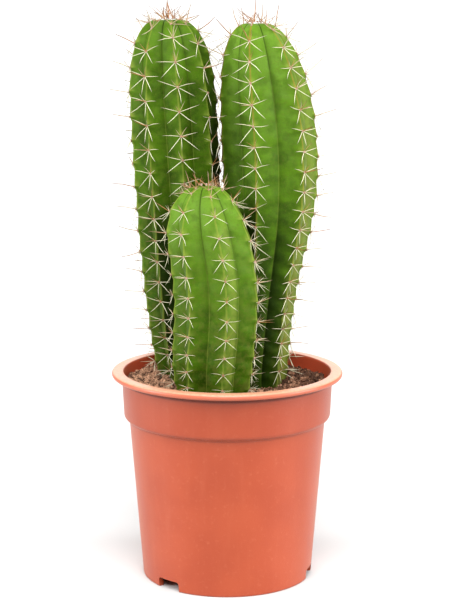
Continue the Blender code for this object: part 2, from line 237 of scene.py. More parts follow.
@dataclass(frozen=True)
class PotPlastic:
    """Terracotta-coloured moulded plastic, a little scuffed and dusty."""

    deep: Colour = Colour(152, 58, 24)
    fresh: Colour = Colour(160, 65, 30)
    dusty: Colour = Colour(196, 118, 86)
    # The lip's paler tint: partly wear, partly a painted highlight.
    pale: Colour = Colour(188, 100, 72)
    # The rim top's paler tint: wear and nicks, and a painted highlight.
    pale_wear_and_highlight: Colour = Colour(216, 160, 130)
    # Painted shade: the dark line under the lip and the thin line under the band.
    painted_shade: Colour = Colour(80, 22, 8)
    band: Colour = Colour(138, 50, 22)
    # The inside wall: the same plastic, painted brighter as painted light in its shade.
    inner: Colour = Colour(204, 82, 52)
    edge: Colour = Colour(255, 190, 130)
    roughness: float = 0.38
    cloud_size: float = 38 * MM
    dust_size: float = 3 * MM
    nick_size: float = 2.2 * MM
    fine_grain: float = 0.9 * MM
    coarse_grain: float = 6 * MM
    grain_depth: float = 0.10 * MM
    scratch_depth: float = 0.03 * MM
    streak_scale: tuple[float, float, float] = (160.0, 160.0, 12.0)
    scratch_scale: tuple[float, float, float] = (90.0, 90.0, 1400.0)

    def material(self) -> bpy.types.Material:
        """Mottled pigment, a pale, nicked rim with a painted highlight, painted shade in the crease under the
        lip and under the band, dust, and a fine moulded grain.

        Returns:
            The material.
        """
        wiring = Wiring("terracotta_plastic", self.roughness, Specular_IOR_Level=0.5, Sheen_Weight=0.07,
                        Sheen_Roughness=0.3, Sheen_Tint=self.edge.linear())
        cloud = wiring.noise(self.cloud_size, 3.0)
        streaks = wiring.streaks(self.streak_scale, 4.0).step(0.5, 0.85)
        dust = wiring.noise(self.dust_size, 5.0).step(0.55, 0.80) * 0.5 + streaks * 0.25
        nicks = wiring.noise(self.nick_size, 3.0).step(0.35, 0.6)

        # Where each form of the pot is. The millimetres say how softly its edges fade.
        height = wiring.along("Z")
        across = (wiring.along("X") ** 2.0 + wiring.along("Y") ** 2.0) ** 0.5
        corner_top = Pot.band_bottom + Pot.band_corner
        under_lip = Pot.rim_height - 2 * Pot.lip
        inside = across.step(Pot.band_radius, Pot.band_radius - 0.25 * MM)
        inside = inside * height.step(corner_top, corner_top + 2 * MM)
        # A thin line of painted shade in the fillet under the band.
        painted_ledge_shade = height.step(Pot.body_top + 0.3 * MM, Pot.body_top + 0.8 * MM)
        painted_ledge_shade = painted_ledge_shade * height.step(Pot.band_bottom + 1.6 * MM, Pot.band_bottom + 0.7 * MM)
        outer = across.step(Pot.band_top_radius - 1.2 * MM, Pot.band_top_radius - 0.5 * MM)
        # The lip and the rim's flat top are painted paler: partly wear, partly a painted highlight.
        lip = height.step(under_lip - 0.4 * MM, under_lip + 0.4 * MM) * outer
        top = height.step(Pot.rim_height - 1.2 * MM, Pot.rim_height - 0.4 * MM) * outer
        # Painted shade on the band just under the lip's overhang.
        crease = height.step(Pot.band_top - 1.6 * MM, Pot.band_top + 0.2 * MM)
        crease = crease * height.step(under_lip + 0.2 * MM, under_lip - 0.3 * MM) * (1.0 - inside)

        colour = wiring.layered(
            self.deep,
            (cloud.step(0.3, 0.7), self.fresh),
            (dust * 0.3, self.dusty),
            (height.step(Pot.body_top, Pot.band_bottom) * 0.4, self.band),
            # The inside wall, painted brighter: painted light.
            (inside * 0.8, self.inner),
            # Painted shade under the band.
            (painted_ledge_shade * 0.10, self.painted_shade),
            # The paler lip and rim top: wear and a painted highlight.
            (lip * (0.4 + 0.6 * cloud), self.pale),
            (top * (0.45 + 0.3 * cloud + 0.2 * nicks), self.pale_wear_and_highlight),
            # Painted shade under the lip.
            (crease * 0.85, self.painted_shade),
        )
        grain = wiring.noise(self.fine_grain, 2.0) * 0.6 + wiring.noise(self.coarse_grain, 2.0) * 0.4
        scratches = wiring.streaks(self.scratch_scale, 2.0).step(0.6, 0.75)
        normal = wiring.bump(grain, self.grain_depth)
        normal = wiring.bump(scratches, self.scratch_depth, Normal=normal)
        rough = self.roughness - 0.06 + cloud * 0.10 + dust * 0.12
        return wiring.feed(Base_Color=colour, Roughness=rough, Normal=normal)


@dataclass(frozen=True)
class CactusFlesh:
    """Waxy green flesh, paler along the crests and dark in the grooves, with painted light and painted shade
    in its colour.
    """

    deep: Colour = Colour(32, 54, 1)
    fresh: Colour = Colour(58, 90, 5)
    lit: Colour = Colour(76, 114, 8)
    young: Colour = Colour(112, 152, 50)
    # Dry skin, which on the dry flanks also stands in for painted side light.
    crest: Colour = Colour(138, 152, 64)
    # Pale crest green: the crest line, and also painted light above the areoles, beside a crest and in the
    # lower grooves.
    dry: Colour = Colour(134, 136, 64)
    # The dark of painted shade in the grooves and between the stems.
    groove: Colour = Colour(18, 32, 2)
    bark: Colour = Colour(84, 78, 34)
    speck: Colour = Colour(104, 128, 42)
    rust: Colour = Colour(146, 84, 40)
    roughness: float = 0.50
    crest_width: float = 1.0 * MM
    groove_width: float = 0.6 * MM
    cloud_size: float = 20 * MM
    patch_size: float = 11 * MM
    mottle_size: float = 4.5 * MM
    fleck_size: float = 1.3 * MM
    pore_spacing: float = 1.7 * MM
    fine_skin: float = 0.7 * MM
    coarse_skin: float = 3.0 * MM
    skin_depth: float = 0.28 * MM
    wave_depth: float = 0.2 * MM
    wave_scale: tuple[float, float, float] = (55.0, 55.0, 95.0)

    def material(self) -> bpy.types.Material:
        """Colour that follows the ribs, the areoles and how old the flesh is, with painted light on crests
        and bumps, painted shade in grooves and clefts, and fine pores.

        Returns:
            The material.
        """
        wiring = Wiring("cactus_flesh", self.roughness, Specular_IOR_Level=0.05)
        crest = wiring.attribute("crest_distance")
        groove = wiring.attribute("groove_distance")
        crown = wiring.attribute("crown")
        rust = wiring.attribute("rust")
        age = wiring.attribute("age")
        cloud = wiring.noise(self.cloud_size, 3.0)
        mottle = wiring.noise(self.mottle_size, 4.0)
        waves = wiring.streaks(self.wave_scale, 2.0).step(0.42, 0.66)
        # Painted light on the flesh near each crest.
        painted_crest_light = crest.step(8 * MM, 1.5 * MM) * (0.4 + 0.6 * cloud)
        # Painted light on the crest just above each areole.
        painted_areole_light = crest.step(4.2 * MM, 0.4 * MM) * wiring.attribute("areole_phase").step(0.62, 1.0)
        # The groove's thin line: painted shade near the tip, and a painted highlight lower down.
        crease = groove.step(self.groove_width, 0.0)
        edge = crest.step(self.crest_width, self.crest_width * 0.3) * (0.4 + 0.6 * mottle)
        colour = wiring.layered(
            self.deep,
            (cloud.step(0.36, 0.64) * 0.5 + mottle.step(0.36, 0.64) * 0.5, self.fresh),
            # Paler young flesh at the tip, and paler flesh towards the top of each stem: partly young flesh,
            # partly painted top light.
            (wiring.attribute("youth") * 0.9, self.young),
            (wiring.noise(self.patch_size, 3.0).step(0.47, 0.62) * 0.35, self.deep),
            # Painted light on the waves' bumps and on the flesh near each crest.
            (waves * 0.4, self.lit),
            (painted_crest_light * 0.35, self.lit),
            # Painted light just above each areole.
            (painted_areole_light * 0.55, self.crest),
            (wiring.cells(self.pore_spacing).step(0.22, 0.06) * 0.3, self.speck),
            # Towards the soil the flesh is darker and barky: old flesh, and painted shade.
            (age * 0.4, self.deep),
            (age * mottle.step(0.42, 0.62) * 0.4, self.bark),
            (wiring.noise(self.fleck_size, 3.0).step(0.5, 0.68) * 0.22, self.bark),
            # Dry flanks: dry skin, and painted side light.
            (wiring.attribute("dryness") * (0.45 + 0.5 * mottle), self.dry),
            # A band of painted light beside a crest.
            (wiring.attribute("painted_light_stripe") * (0.2 + 0.4 * mottle), self.crest),
            # Painted shade towards each groove, in its crease near the tip and in the clefts between stems;
            # lower down the crease gets a thin painted highlight.
            (groove.step(6 * MM, 0.0) * 0.15, self.deep),
            (crease * crown * 0.85, self.groove),
            (crease * (1.0 - crown) * 0.22, self.crest),
            (wiring.attribute("shade").step(0.0, 0.9) * 0.94, self.groove),
            (edge * (0.42 + 0.3 * rust), wiring.mix(rust, self.crest, self.rust)),
        )
        skin = wiring.noise(self.fine_skin, 3.0) * 0.5 + wiring.noise(self.coarse_skin, 2.0) * 0.5
        normal = wiring.bump(skin, self.skin_depth)
        normal = wiring.bump(waves, self.wave_depth, Normal=normal)
        rough = self.roughness - 0.07 + mottle * 0.16
        return wiring.feed(Base_Color=colour, Roughness=rough, Normal=normal)


@dataclass(frozen=True)
class SpineHorn:
    """Horny spines: orange-brown when young, cream and then greyer when old."""

    cream: Colour = Colour(224, 220, 190)
    root: Colour = Colour(164, 140, 118)
    tip: Colour = Colour(98, 80, 60)
    young: Colour = Colour(150, 96, 40)
    young_tip: Colour = Colour(88, 52, 24)
    roughness: float = 0.40
    ring_size: float = 0.6 * MM

    def material(self) -> bpy.types.Material:
        """Colour from root to tip, by the spine's youth and its own tone.

        Returns:
            The material.
        """
        wiring = Wiring("spine_horn", self.roughness, Specular_IOR_Level=0.5)
        reach = wiring.attribute("reach")
        rings = wiring.noise(self.ring_size, 3.0)
        colour = wiring.layered(
            self.cream,
            (reach.step(0.6, 1.0) * 0.8, self.tip),
            (reach.step(0.2, 0.02) * 0.6, self.root),
            (wiring.attribute("youth"), wiring.mix(reach.step(0.35, 1.0), self.young, self.young_tip)),
            ((0.5 - wiring.attribute("tone")) * 0.4, self.tip),
            (rings.step(0.55, 0.75) * 0.15, self.root),
        )
        return wiring.feed(Base_Color=colour, Roughness=self.roughness - 0.08 + rings * 0.16)


@dataclass(frozen=True)
class AreoleFelt:
    """Short wool on the areoles, pinkish white to tan with dark specks."""

    pale: Colour = Colour(186, 172, 164)
    tan: Colour = Colour(158, 92, 54)
    dark: Colour = Colour(84, 46, 32)
    roughness: float = 0.92
    fluff_size: float = 0.8 * MM
    speck_size: float = 0.5 * MM
    fluff_depth: float = 0.25 * MM

    def material(self) -> bpy.types.Material:
        """Woolly mottling with a sheen at its edges.

        Returns:
            The material.
        """
        wiring = Wiring("areole_felt", self.roughness, Sheen_Weight=0.4)
        fluff = wiring.noise(self.fluff_size, 4.0)
        colour = wiring.layered(
            self.tan,
            (fluff.step(0.35, 0.65), self.pale),
            (wiring.noise(self.speck_size, 2.0).step(0.62, 0.72) * 0.8, self.dark),
            ((1.0 - wiring.attribute("youth")) * 0.75, self.tan),
        )
        return wiring.feed(Base_Color=colour, Normal=wiring.bump(fluff, self.fluff_depth))


@dataclass(frozen=True)
class SoilCrumb:
    """Dry, granular potting soil, lighter where it has dried out."""

    dry: Colour = Colour(206, 158, 126)
    damp: Colour = Colour(140, 96, 72)
    dark: Colour = Colour(50, 29, 18)
    roughness: float = 0.95
    grit_size: float = 1.1 * MM
    grit_depth: float = 0.7 * MM

    def material(self, name: str, darker: float) -> bpy.types.Material:
        """Crumbs whose colour follows their own tone.

        Args:
            name: The material's name.
            darker: How far the colour is taken towards the dark one, from 0 to 1.

        Returns:
            The material.
        """
        wiring = Wiring(name, self.roughness, Specular_IOR_Level=0.25)
        tone = wiring.attribute("tone")
        grit = wiring.noise(self.grit_size, 5.0)
        colour = wiring.layered(
            self.damp,
            (tone.step(0.15, 0.95), self.dry),
            (tone.step(0.45, 0.0) * 0.8, self.dark),
            (grit.step(0.62, 0.42) * 0.6, self.dark),
            (darker, self.dark),
        )
        return wiring.feed(Base_Color=colour, Normal=wiring.bump(grit, self.grit_depth))


@dataclass(frozen=True)
class StudioWhite:
    """The matt white of a studio floor."""

    white: Colour = Colour(205, 205, 204)
    worn: Colour = Colour(200, 200, 199)
    roughness: float = 0.8
    patch_size: float = 0.4

    def material(self) -> bpy.types.Material:
        """Plain, with the faintest unevenness.

        Returns:
            The material.
        """
        wiring = Wiring("studio_white", self.roughness)
        patches = wiring.noise(self.patch_size, 2.0) * 0.04
        return wiring.feed(Base_Color=wiring.mix(patches, self.white, self.worn))


class Bench:
    """The modelling steps that the sub-assemblies share, each an operator used as by hand."""

    @staticmethod
    def deselect() -> None:
        """Deselect every object."""
        for chosen in list(bpy.context.selected_objects):
            chosen.select_set(False)

    @staticmethod
    def take(obj: bpy.types.Object) -> None:
        """Make an object the only selected one, and the active one.

        Args:
            obj: The object.
        """
        Bench.deselect()
        obj.select_set(True)
        bpy.context.view_layer.objects.active = obj

    @staticmethod
    def primitive(add: Callable, name: str, **sizes: object) -> bpy.types.Object:
        """Add a primitive.

        Args:
            add: The operator that adds it.
            name: The object's name.
            sizes: The operator's sizes and place.

        Returns:
            The new object.
        """
        Bench.deselect()
        add(**sizes)
        obj = bpy.context.view_layer.objects.active
        obj.name = name
        return obj

    @staticmethod
    @contextmanager
    def editing(obj: bpy.types.Object) -> Iterator[None]:
        """Hold an object in edit mode, by its vertices and with all of it selected at first.

        Args:
            obj: The object.
        """
        Bench.take(obj)
        bpy.ops.object.mode_set(mode="EDIT")
        bpy.ops.mesh.select_mode(type="VERT")
        bpy.ops.mesh.select_all(action="SELECT")
        yield
        bpy.ops.object.mode_set(mode="OBJECT")

    @staticmethod
    def pick_edges(obj: bpy.types.Object, test: Callable[[bmesh.types.BMEdge], bool]) -> None:
        """Select some edges of an object that is in edit mode.

        Args:
            obj: The object.
            test: Whether an edge is to be selected.
        """
        bpy.ops.mesh.select_mode(type="EDGE")
        bpy.ops.mesh.select_all(action="DESELECT")
        mesh = bmesh.from_edit_mesh(obj.data)
        for edge in mesh.edges:
            edge.select_set(test(edge))
        bmesh.update_edit_mesh(obj.data)

    @staticmethod
    def settle(obj: bpy.types.Object) -> bpy.types.Object:
        """Put an object at the origin, unturned and unscaled, with its place in its mesh.

        Args:
            obj: The object.

        Returns:
            The same object.
        """
        Bench.take(obj)
        bpy.ops.object.transform_apply(location=True, rotation=True, scale=True)
        return obj

    @staticmethod
    def modify(obj: bpy.types.Object, kind: str, **settings: object) -> None:
        """Add a modifier and apply it.

        Args:
            obj: The object.
            kind: The modifier's type.
            settings: The modifier's settings.
        """
        Bench.take(obj)
        modifier = obj.modifiers.new(kind.title(), kind)
        for name, value in settings.items():
            setattr(modifier, name, value)
        bpy.ops.object.modifier_apply(modifier=modifier.name)

    @staticmethod
    def cut(obj: bpy.types.Object, cutters: Sequence[bpy.types.Object]) -> None:
        """Cut an object with others, which are used up.

        Args:
            obj: The object to cut.
            cutters: Closed objects that don't overlap each other.
        """
        tool = Bench.join(cutters, "cutter")
        Bench.modify(obj, "BOOLEAN", operation="DIFFERENCE", solver="EXACT", object=tool)
        bpy.data.objects.remove(tool, do_unlink=True)

    @staticmethod
    def join(objects: Sequence[bpy.types.Object], name: str) -> bpy.types.Object:
        """Join objects into the first of them.

        Args:
            objects: The objects.
            name: The name of the joined object.

        Returns:
            The joined object.
        """
        Bench.take(objects[0])
        for obj in objects:
            obj.select_set(True)
        bpy.ops.object.join()
        objects[0].name = name
        return Bench.settle(objects[0])

    @staticmethod
    def spun(name: str, profile: Sequence[tuple[float, float]], steps: int) -> bpy.types.Object:
        """A closed solid of revolution, from one point extruded along its profile and spun.

        Args:
            name: The object's name.
            profile: Points of a radius and a height, from the axis and back to it.
            steps: The number of steps round.

        Returns:
            The solid.
        """
        start = (profile[0][0], 0.0, profile[0][1])
        obj = Bench.primitive(bpy.ops.mesh.primitive_plane_add, name, size=MM, location=start)
        with Bench.editing(obj):
            bpy.ops.mesh.merge(type="CENTER")
            for before, after in zip(profile, profile[1:]):
                step = (after[0] - before[0], 0.0, after[1] - before[1])
                bpy.ops.mesh.extrude_vertices_move(TRANSFORM_OT_translate={"value": step})
            bpy.ops.mesh.select_all(action="SELECT")
            bpy.ops.mesh.spin(steps=steps, angle=math.tau, center=(0, 0, 0), axis=(0, 0, 1))
            bpy.ops.mesh.select_all(action="SELECT")
            bpy.ops.mesh.remove_doubles(threshold=MERGE_DISTANCE)
            bpy.ops.mesh.normals_make_consistent(inside=False)
        return Bench.settle(obj)

    @staticmethod
    def points(obj: bpy.types.Object, what: str = "co") -> np.ndarray:
        """The points of an object's mesh.

        Args:
            obj: The object.
            what: "co" for the points themselves, or "normal" for the normals at them.

        Returns:
            A row of three numbers for each point.
        """
        flat = np.zeros(len(obj.data.vertices) * 3)
        obj.data.vertices.foreach_get(what, flat)
        return flat.reshape(-1, 3)

    @staticmethod
    def smooth(obj: bpy.types.Object, degrees: float | None = None) -> None:
        """Shade an object smooth.

        Args:
            obj: The object.
            degrees: The turn beyond which an edge stays sharp, if any does.
        """
        Bench.take(obj)
        if degrees is None:
            bpy.ops.object.shade_smooth()
        else:
            bpy.ops.object.shade_smooth_by_angle(angle=math.radians(degrees))

    @staticmethod
    def move(obj: bpy.types.Object, points: np.ndarray) -> None:
        """Give an object's mesh new places for its points."""
        obj.data.vertices.foreach_set("co", np.asarray(points, np.float32).ravel())
        obj.data.update()

    @staticmethod
    def mark(mesh: bpy.types.Mesh, name: str, values: Number) -> None:
        """Write a number at each point of a mesh.

        Args:
            mesh: The mesh.
            name: The attribute's name.
            values: One number, or one for each point.
        """
        attribute = mesh.attributes.get(name) or mesh.attributes.new(name, "FLOAT", "POINT")
        full = np.broadcast_to(np.asarray(values, np.float32), (len(mesh.vertices),))
        attribute.data.foreach_set("value", np.ascontiguousarray(full))

    @staticmethod
    def copies(shapes: Sequence[bpy.types.Object], placings: Sequence["Placing"],
               name: str) -> bpy.types.Object:
        """Copy shapes to many places, each copy with its own mesh, and join them.

        Args:
            shapes: The shapes, which are used up.
            placings: Where each copy goes and what it carries.
            name: The name of the joined piece.

        Returns:
            The joined piece.
        """
        made = []
        for placing in placings:
            mesh = shapes[placing.shape].data.copy()
            mesh.transform(placing.matrix)
            for key, value in placing.marks.items():
                Bench.mark(mesh, key, value)
            made.append(bpy.data.objects.new(name, mesh))
            bpy.context.scene.collection.objects.link(made[-1])
        for shape in shapes:
            bpy.data.objects.remove(shape, do_unlink=True)
        return Bench.join(made, name)

    @staticmethod
    def dress(obj: bpy.types.Object, material: bpy.types.Material, slot: str) -> None:
        """Give a piece its only material, and let it ride on the body.

        Args:
            obj: The piece.
            material: Its material.
            slot: A slot's name, which is not used.
        """
        obj.data.materials.clear()
        obj.data.materials.append(material)
        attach(obj, BODY)
        log.info("%s: %d faces", obj.name, len(obj.data.polygons))


@dataclass(frozen=True)
class Placing:
    """Where one copy of a shape goes, and the numbers that its points carry."""

    shape: int
    matrix: Matrix
    marks: dict[str, float]


def around(angle: float, radius: float, height: float = 0.0) -> Vector:
    """The point at an angle from the front, a radius and a height about the Z axis."""
    return Vector((radius * math.sin(angle), -radius * math.cos(angle), height))


def arc(centre: tuple[float, float], radius: float, start: float, end: float,
        steps: int) -> list[tuple[float, float]]:
    """Points of a turned profile's round stretch, whose directions are in degrees, 0 outwards and 90 up."""
    angles = [math.radians(start + (end - start) * step / steps) for step in range(steps + 1)]
    return [(centre[0] + radius * math.cos(a), centre[1] + radius * math.sin(a)) for a in angles]


@dataclass
class Pot:
    """A thin-walled nursery pot with a rolled rim, a wide band, a tapered body and a notched foot."""

    rim_radius: float = 85.0 * MM
    rim_height: float = 154.3 * MM
    lip: float = 2.1 * MM
    band_top_radius: float = 77.5 * MM
    band_top: float = 147.5 * MM
    band_radius: float = 76.3 * MM
    band_corner: float = 3.6 * MM
    band_bottom: float = 118.8 * MM
    body_top_radius: float = 72.2 * MM
    body_top: float = 116.4 * MM
    foot_radius: float = 62.7 * MM
    foot_corner: float = 1.4 * MM
    foot_ring: float = 3.0 * MM
    wall: float = 1.5 * MM
    floor_underside: float = 8.4 * MM
    floor_top: float = 9.9 * MM
    notch_size: tuple[float, float, float] = (20.0 * MM, 20.0 * MM, 15.0 * MM)
    notch_corner: float = 2.0 * MM
    notch_count: int = 3
    notch_first: float = math.radians(-43)
    drain_radius: float = 4.5 * MM
    drain_circle: float = 44.0 * MM
    drain_count: int = 6
    steps: int = 180
    sharp_degrees: float = 32.0
    finish: PotPlastic = field(default_factory=PotPlastic)

    def body_radius(self, height: float) -> float:
        """Outer radius of the tapered body at a height."""
        return self.foot_radius + (self.body_top_radius - self.foot_radius) * height / self.body_top

    def outside(self) -> list[tuple[float, float]]:
        """From the rim's inner edge over the lip and down to the foot.

        Returns:
            The profile's points, each a radius and a height.
        """
        lip_centre = (self.rim_radius - self.lip, self.rim_height - self.lip)
        under_lip = self.rim_height - 2 * self.lip
        neck_centre = (self.band_top_radius + 2 * self.wall, under_lip - self.wall)
        band_centre = (self.band_radius - self.band_corner, self.band_bottom + self.band_corner)
        fillet = self.wall / 2
        ledge_centre = (self.body_top_radius + fillet, self.body_top + fillet)
        foot_centre = (self.body_radius(self.foot_corner) - self.foot_corner, self.foot_corner)
        side = arc(lip_centre, self.lip, 90, -90, 12) + arc(neck_centre, self.wall, 90, 180, 4)
        flare, drop = self.band_radius - self.band_top_radius, band_centre[1] - self.band_top
        side += [(self.band_top_radius + flare * s / 6, self.band_top + drop * s / 6) for s in range(6)]
        side += arc(band_centre, self.band_corner, 0, -80, 8) + arc(ledge_centre, fillet, 90, 180, 3)
        shaft = [self.body_top * (1 - s / 16) for s in range(1, 16)]
        side += [(self.body_radius(height), height) for height in shaft]
        return side + arc(foot_centre, self.foot_corner, 0, -90, 5)

    def inside(self) -> list[tuple[float, float]]:
        """From the middle of the floor up the inside to the rim's flat top.

        Returns:
            The profile's points.
        """
        corner = 3 * self.wall
        floor_edge = self.body_radius(self.floor_top + corner) - self.wall
        side = [(0.0, self.floor_top)]
        side += arc((floor_edge - corner, self.floor_top + corner), corner, -90, 0, 5)
        side += [(self.body_top_radius - self.wall, self.body_top)]
        side += [(self.band_radius - self.wall, self.band_bottom + self.band_corner)]
        side += [(self.band_top_radius - self.wall, self.band_top)]
        return side + arc((self.band_top_radius, self.rim_height - self.wall), self.wall, 180, 90, 7)

    def underside(self) -> list[tuple[float, float]]:
        """From the foot ring's inner edge up to the raised floor and in to the axis.

        Returns:
            The profile's points.
        """
        ring = self.body_radius(0.0) - self.foot_corner - self.foot_ring
        edge = self.body_radius(self.floor_underside)
        recess = [(ring, 0.0), (ring, self.foot_ring)]
        recess += [(edge - self.wall, self.floor_underside - self.wall)]
        return recess + [(edge - 2 * self.wall, self.floor_underside), (0.0, self.floor_underside)]

    def notch(self, index: int) -> bpy.types.Object:
        """A round-cornered block that cuts one drainage notch.

        Args:
            index: Which notch.

        Returns:
            The cutter.
        """
        angle = self.notch_first + index * math.tau / self.notch_count
        block = Bench.primitive(bpy.ops.mesh.primitive_cube_add, "notch", size=1.0, scale=self.notch_size)
        Bench.settle(block)
        with Bench.editing(block):
            Bench.pick_edges(block, lambda edge: all(v.co.z > 0 for v in edge.verts)
                             and abs(edge.verts[0].co.x - edge.verts[1].co.x) < MM)
            bpy.ops.mesh.bevel(offset=self.notch_corner, segments=5, affect="EDGES")
        block.location = around(angle, self.foot_radius)
        block.rotation_euler.z = angle
        return Bench.settle(block)

    def drain(self, index: int) -> bpy.types.Object:
        """A drill for one drainage hole in the floor.

        Args:
            index: Which hole.

        Returns:
            The drill.
        """
        angle = self.notch_first + index * math.tau / self.drain_count
        middle = (self.floor_top + self.floor_underside) / 2
        sizes = {"vertices": 32, "radius": self.drain_radius, "depth": 4 * self.wall}
        place = around(angle, self.drain_circle, middle)
        return Bench.primitive(bpy.ops.mesh.primitive_cylinder_add, "drain", location=place, **sizes)

    def build(self) -> bpy.types.Object:
        """Turn the pot, and cut its notches and drains.

        Returns:
            The pot, dressed.
        """
        profile = self.inside() + self.outside() + self.underside()
        pot = Bench.spun("nursery_pot", profile, self.steps)
        cutters = [self.notch(index) for index in range(self.notch_count)]
        cutters += [self.drain(index) for index in range(self.drain_count)]
        Bench.cut(pot, cutters)
        Bench.smooth(pot, self.sharp_degrees)
        Bench.dress(pot, self.finish.material(), "pot_plastic")
        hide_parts("pot")
        return pot


@dataclass(frozen=True)
class Stem:
    """One stem: where it stands, how it leans and swells, and how its ribs and areoles lie."""

    name: str
    foot: tuple[float, float]
    ground: float
    tip: float
    lean: tuple[float, float]
    bow: float
    curl: float
    twist: float
    base_radius: float
    full_radius: float
    swell: float
    swell_power: float
    dome: float
    dome_power: float
    ribs: int
    first_crest: float
    spacing: float
    shrink: float
    first_areoles: tuple[float, ...]
    seed: int
    sides: int
    # How much paler the flesh grows towards the top: partly young flesh, partly painted top light.
    youth: float
    # How far up from the soil the flesh is old and darker: bark, and painted shade.
    age_and_shade_reach: float
    shade_reach: float
    shade_depth: float
    spine_share: float
    rust: float
    # Dry flanks: dry skin, and painted side light.
    dry_and_lit_flanks: tuple[tuple[float, float, float], ...] = ()
    # Bands of painted light beside a crest.
    painted_light_stripes: tuple[tuple[float, float, float], ...] = ()
    dim_patches: tuple[tuple[float, float, float, float, float], ...] = ()
    curl_power: int = 4
    groove_share: float = 0.76
    rib_power: float = 0.68
    buried_depth: float = 38.0 * MM
    buried_taper: float = 12.0 * MM
    buried_share: float = 0.84
    apex_areole: float = 4.0 * MM
    shoulder_step: float = 1.5 * MM
    shoulder_reach: float = 0.5
    step_share: float = 0.24
    step_power: float = 1.6
    flank_wave: float = 0.6 * MM
    crease: float = 0.12
    crease_left: float = 0.04
    crease_power: int = 12
    crease_reach: float = 95.0 * MM
    crown_dip: float = 2.2 * MM
    crown_reach: float = 7.0 * MM
    ring_step: float = 1.9 * MM

    def axis(self, height: Number) -> tuple[Number, Number]:
        """The stem's middle line, which is upright below the soil's surface.

        Args:
            height: The height.

        Returns:
            The line's X and Y there.
        """
        rise = np.maximum(height - self.ground, 0.0)
        share = rise / (self.tip - self.ground)
        x = self.foot[0] + self.lean[0] * rise
        x = x + self.bow * np.sin(np.pi * share) ** 2 + self.curl * share**self.curl_power
        return x, self.foot[1] + self.lean[1] * rise

    def crest_radius(self, height: Number) -> Number:
        """Radius over the crests: narrow at the soil, full higher up, domed at the tip.

        Args:
            height: The height.

        Returns:
            The radius there.
        """
        rise = np.maximum(height - self.ground, 0.0)
        swell = 1 - np.exp(-((rise / self.swell) ** self.swell_power))
        radius = self.base_radius + (self.full_radius - self.base_radius) * swell
        dome = np.clip((height - (self.tip - self.dome)) / self.dome, 0.0, 1.0)
        sunk = np.clip((self.ground - height) / self.buried_taper, 0.0, 1.0)
        round_off = (1 - dome**self.dome_power) ** (1 / self.dome_power)
        return radius * round_off * (1 - (1 - self.buried_share) * sunk)

    def crest_angle(self, crest: Number, height: Number) -> Number:
        """Angle of a crest, which turns a little from the tip to the stem's middle."""
        down = np.minimum(2 * (self.tip - height) / (self.tip - self.ground), 1.0)
        return self.first_crest + crest * math.tau / self.ribs + self.twist * down

    def crown(self, height: Number) -> Number:
        """How near the tip a height is, 1 at the tip and 0 where the grooves' creases have faded."""
        return np.clip(1 - (self.tip - height) / self.crease_reach, 0.0, 1.0)

    def rib_profile(self, off: Number, height: Number) -> Number:
        """How deep the flank lies, 0 on the crest and 1 in the groove, which is creased near the tip."""
        crease = self.crease_left + self.crease * self.crown(height)
        return (1 - crease) * off**self.rib_power + crease * off**self.crease_power

    def relief(self, off: Number, phase: Number, height: Number) -> Number:
        """Height of the small forms on a rib: the step at each areole and the waves of the flank.

        Args:
            off: 0 on the crest, 1 in the groove.
            phase: 0 just below an areole, 1 at the next one down.
            height: The height of the point.

        Returns:
            How far the surface stands out.
        """
        fall = np.clip(phase / self.step_share, 0.0, 1.0)
        fall = fall * fall * (3 - 2 * fall)
        step = 1.0 + (phase**self.step_power - 1.0) * fall - 0.5
        crest = self.shoulder_step * step * np.exp(-((off / self.shoulder_reach) ** 2))
        flank = self.flank_wave * np.cos(math.tau * phase) * 4 * off * (1 - off)
        fade = np.clip((self.tip - height) / (self.dome / 2), 0.0, 1.0)
        return (crest - flank) * fade * self.unburied(height)

    def unburied(self, height: Number) -> Number:
        """1 above the soil's surface, and 0 where the stem has become a plain round foot."""
        return np.clip(1 + (height - self.ground) / self.buried_taper, 0.0, 1.0)

    def radius(self, off: Number, phase: Number, height: Number) -> Number:
        """The surface's distance from the axis."""
        depth = (1 - self.groove_share) * self.unburied(height) * self.rib_profile(off, height)
        return self.crest_radius(height) * (1 - depth) + self.relief(off, phase, height)

    def crest_line(self, crest: int, samples: int = 900) -> tuple[np.ndarray, np.ndarray]:
        """Follow one crest from the tip down to the soil.

        Args:
            crest: Which crest.
            samples: How finely it is followed.

        Returns:
            Heights along it, and the distances to them.
        """
        shares = np.arange(1, samples) / samples
        heights = self.tip - (self.tip - self.ground) * shares**2
        x, y = self.axis(heights)
        radius = self.crest_radius(heights)
        angle = self.crest_angle(crest, heights)
        points = np.stack([x + radius * np.sin(angle), y - radius * np.cos(angle), heights], 1)
        steps = np.linalg.norm(np.diff(points, axis=0), axis=1)
        return heights, np.concatenate([[0.0], np.cumsum(steps)])

    def areole_distances(self, crest: int, length: float) -> list[float]:
        """Distances from the tip at which a crest carries its areoles.

        Args:
            crest: Which crest.
            length: The crest's length down to the soil.

        Returns:
            The distances, in order.
        """
        first = self.first_areoles[crest]
        distances = [self.apex_areole, (self.apex_areole + first) / 2, first]
        while distances[-1] < length:
            shrink = self.shrink * (distances[-1] / length) ** 2
            distances.append(distances[-1] + self.spacing * (1 - shrink))
        return distances

    def ring_heights(self) -> np.ndarray:
        """Heights of the fine net's rings, which are evenly spaced along a crest.

        Returns:
            The heights, from the tip to under the foot.
        """
        heights, lengths = self.crest_line(0)
        steps = round(lengths[-1] / self.ring_step)
        evenly = np.interp(lengths[-1] * np.arange(1, steps + 1) / steps, lengths, heights)
        buried = [self.ground - self.buried_taper / 2, self.ground - self.buried_taper]
        bottom = self.ground - self.buried_depth
        return np.concatenate([[self.tip], evenly, buried, [bottom, bottom]])


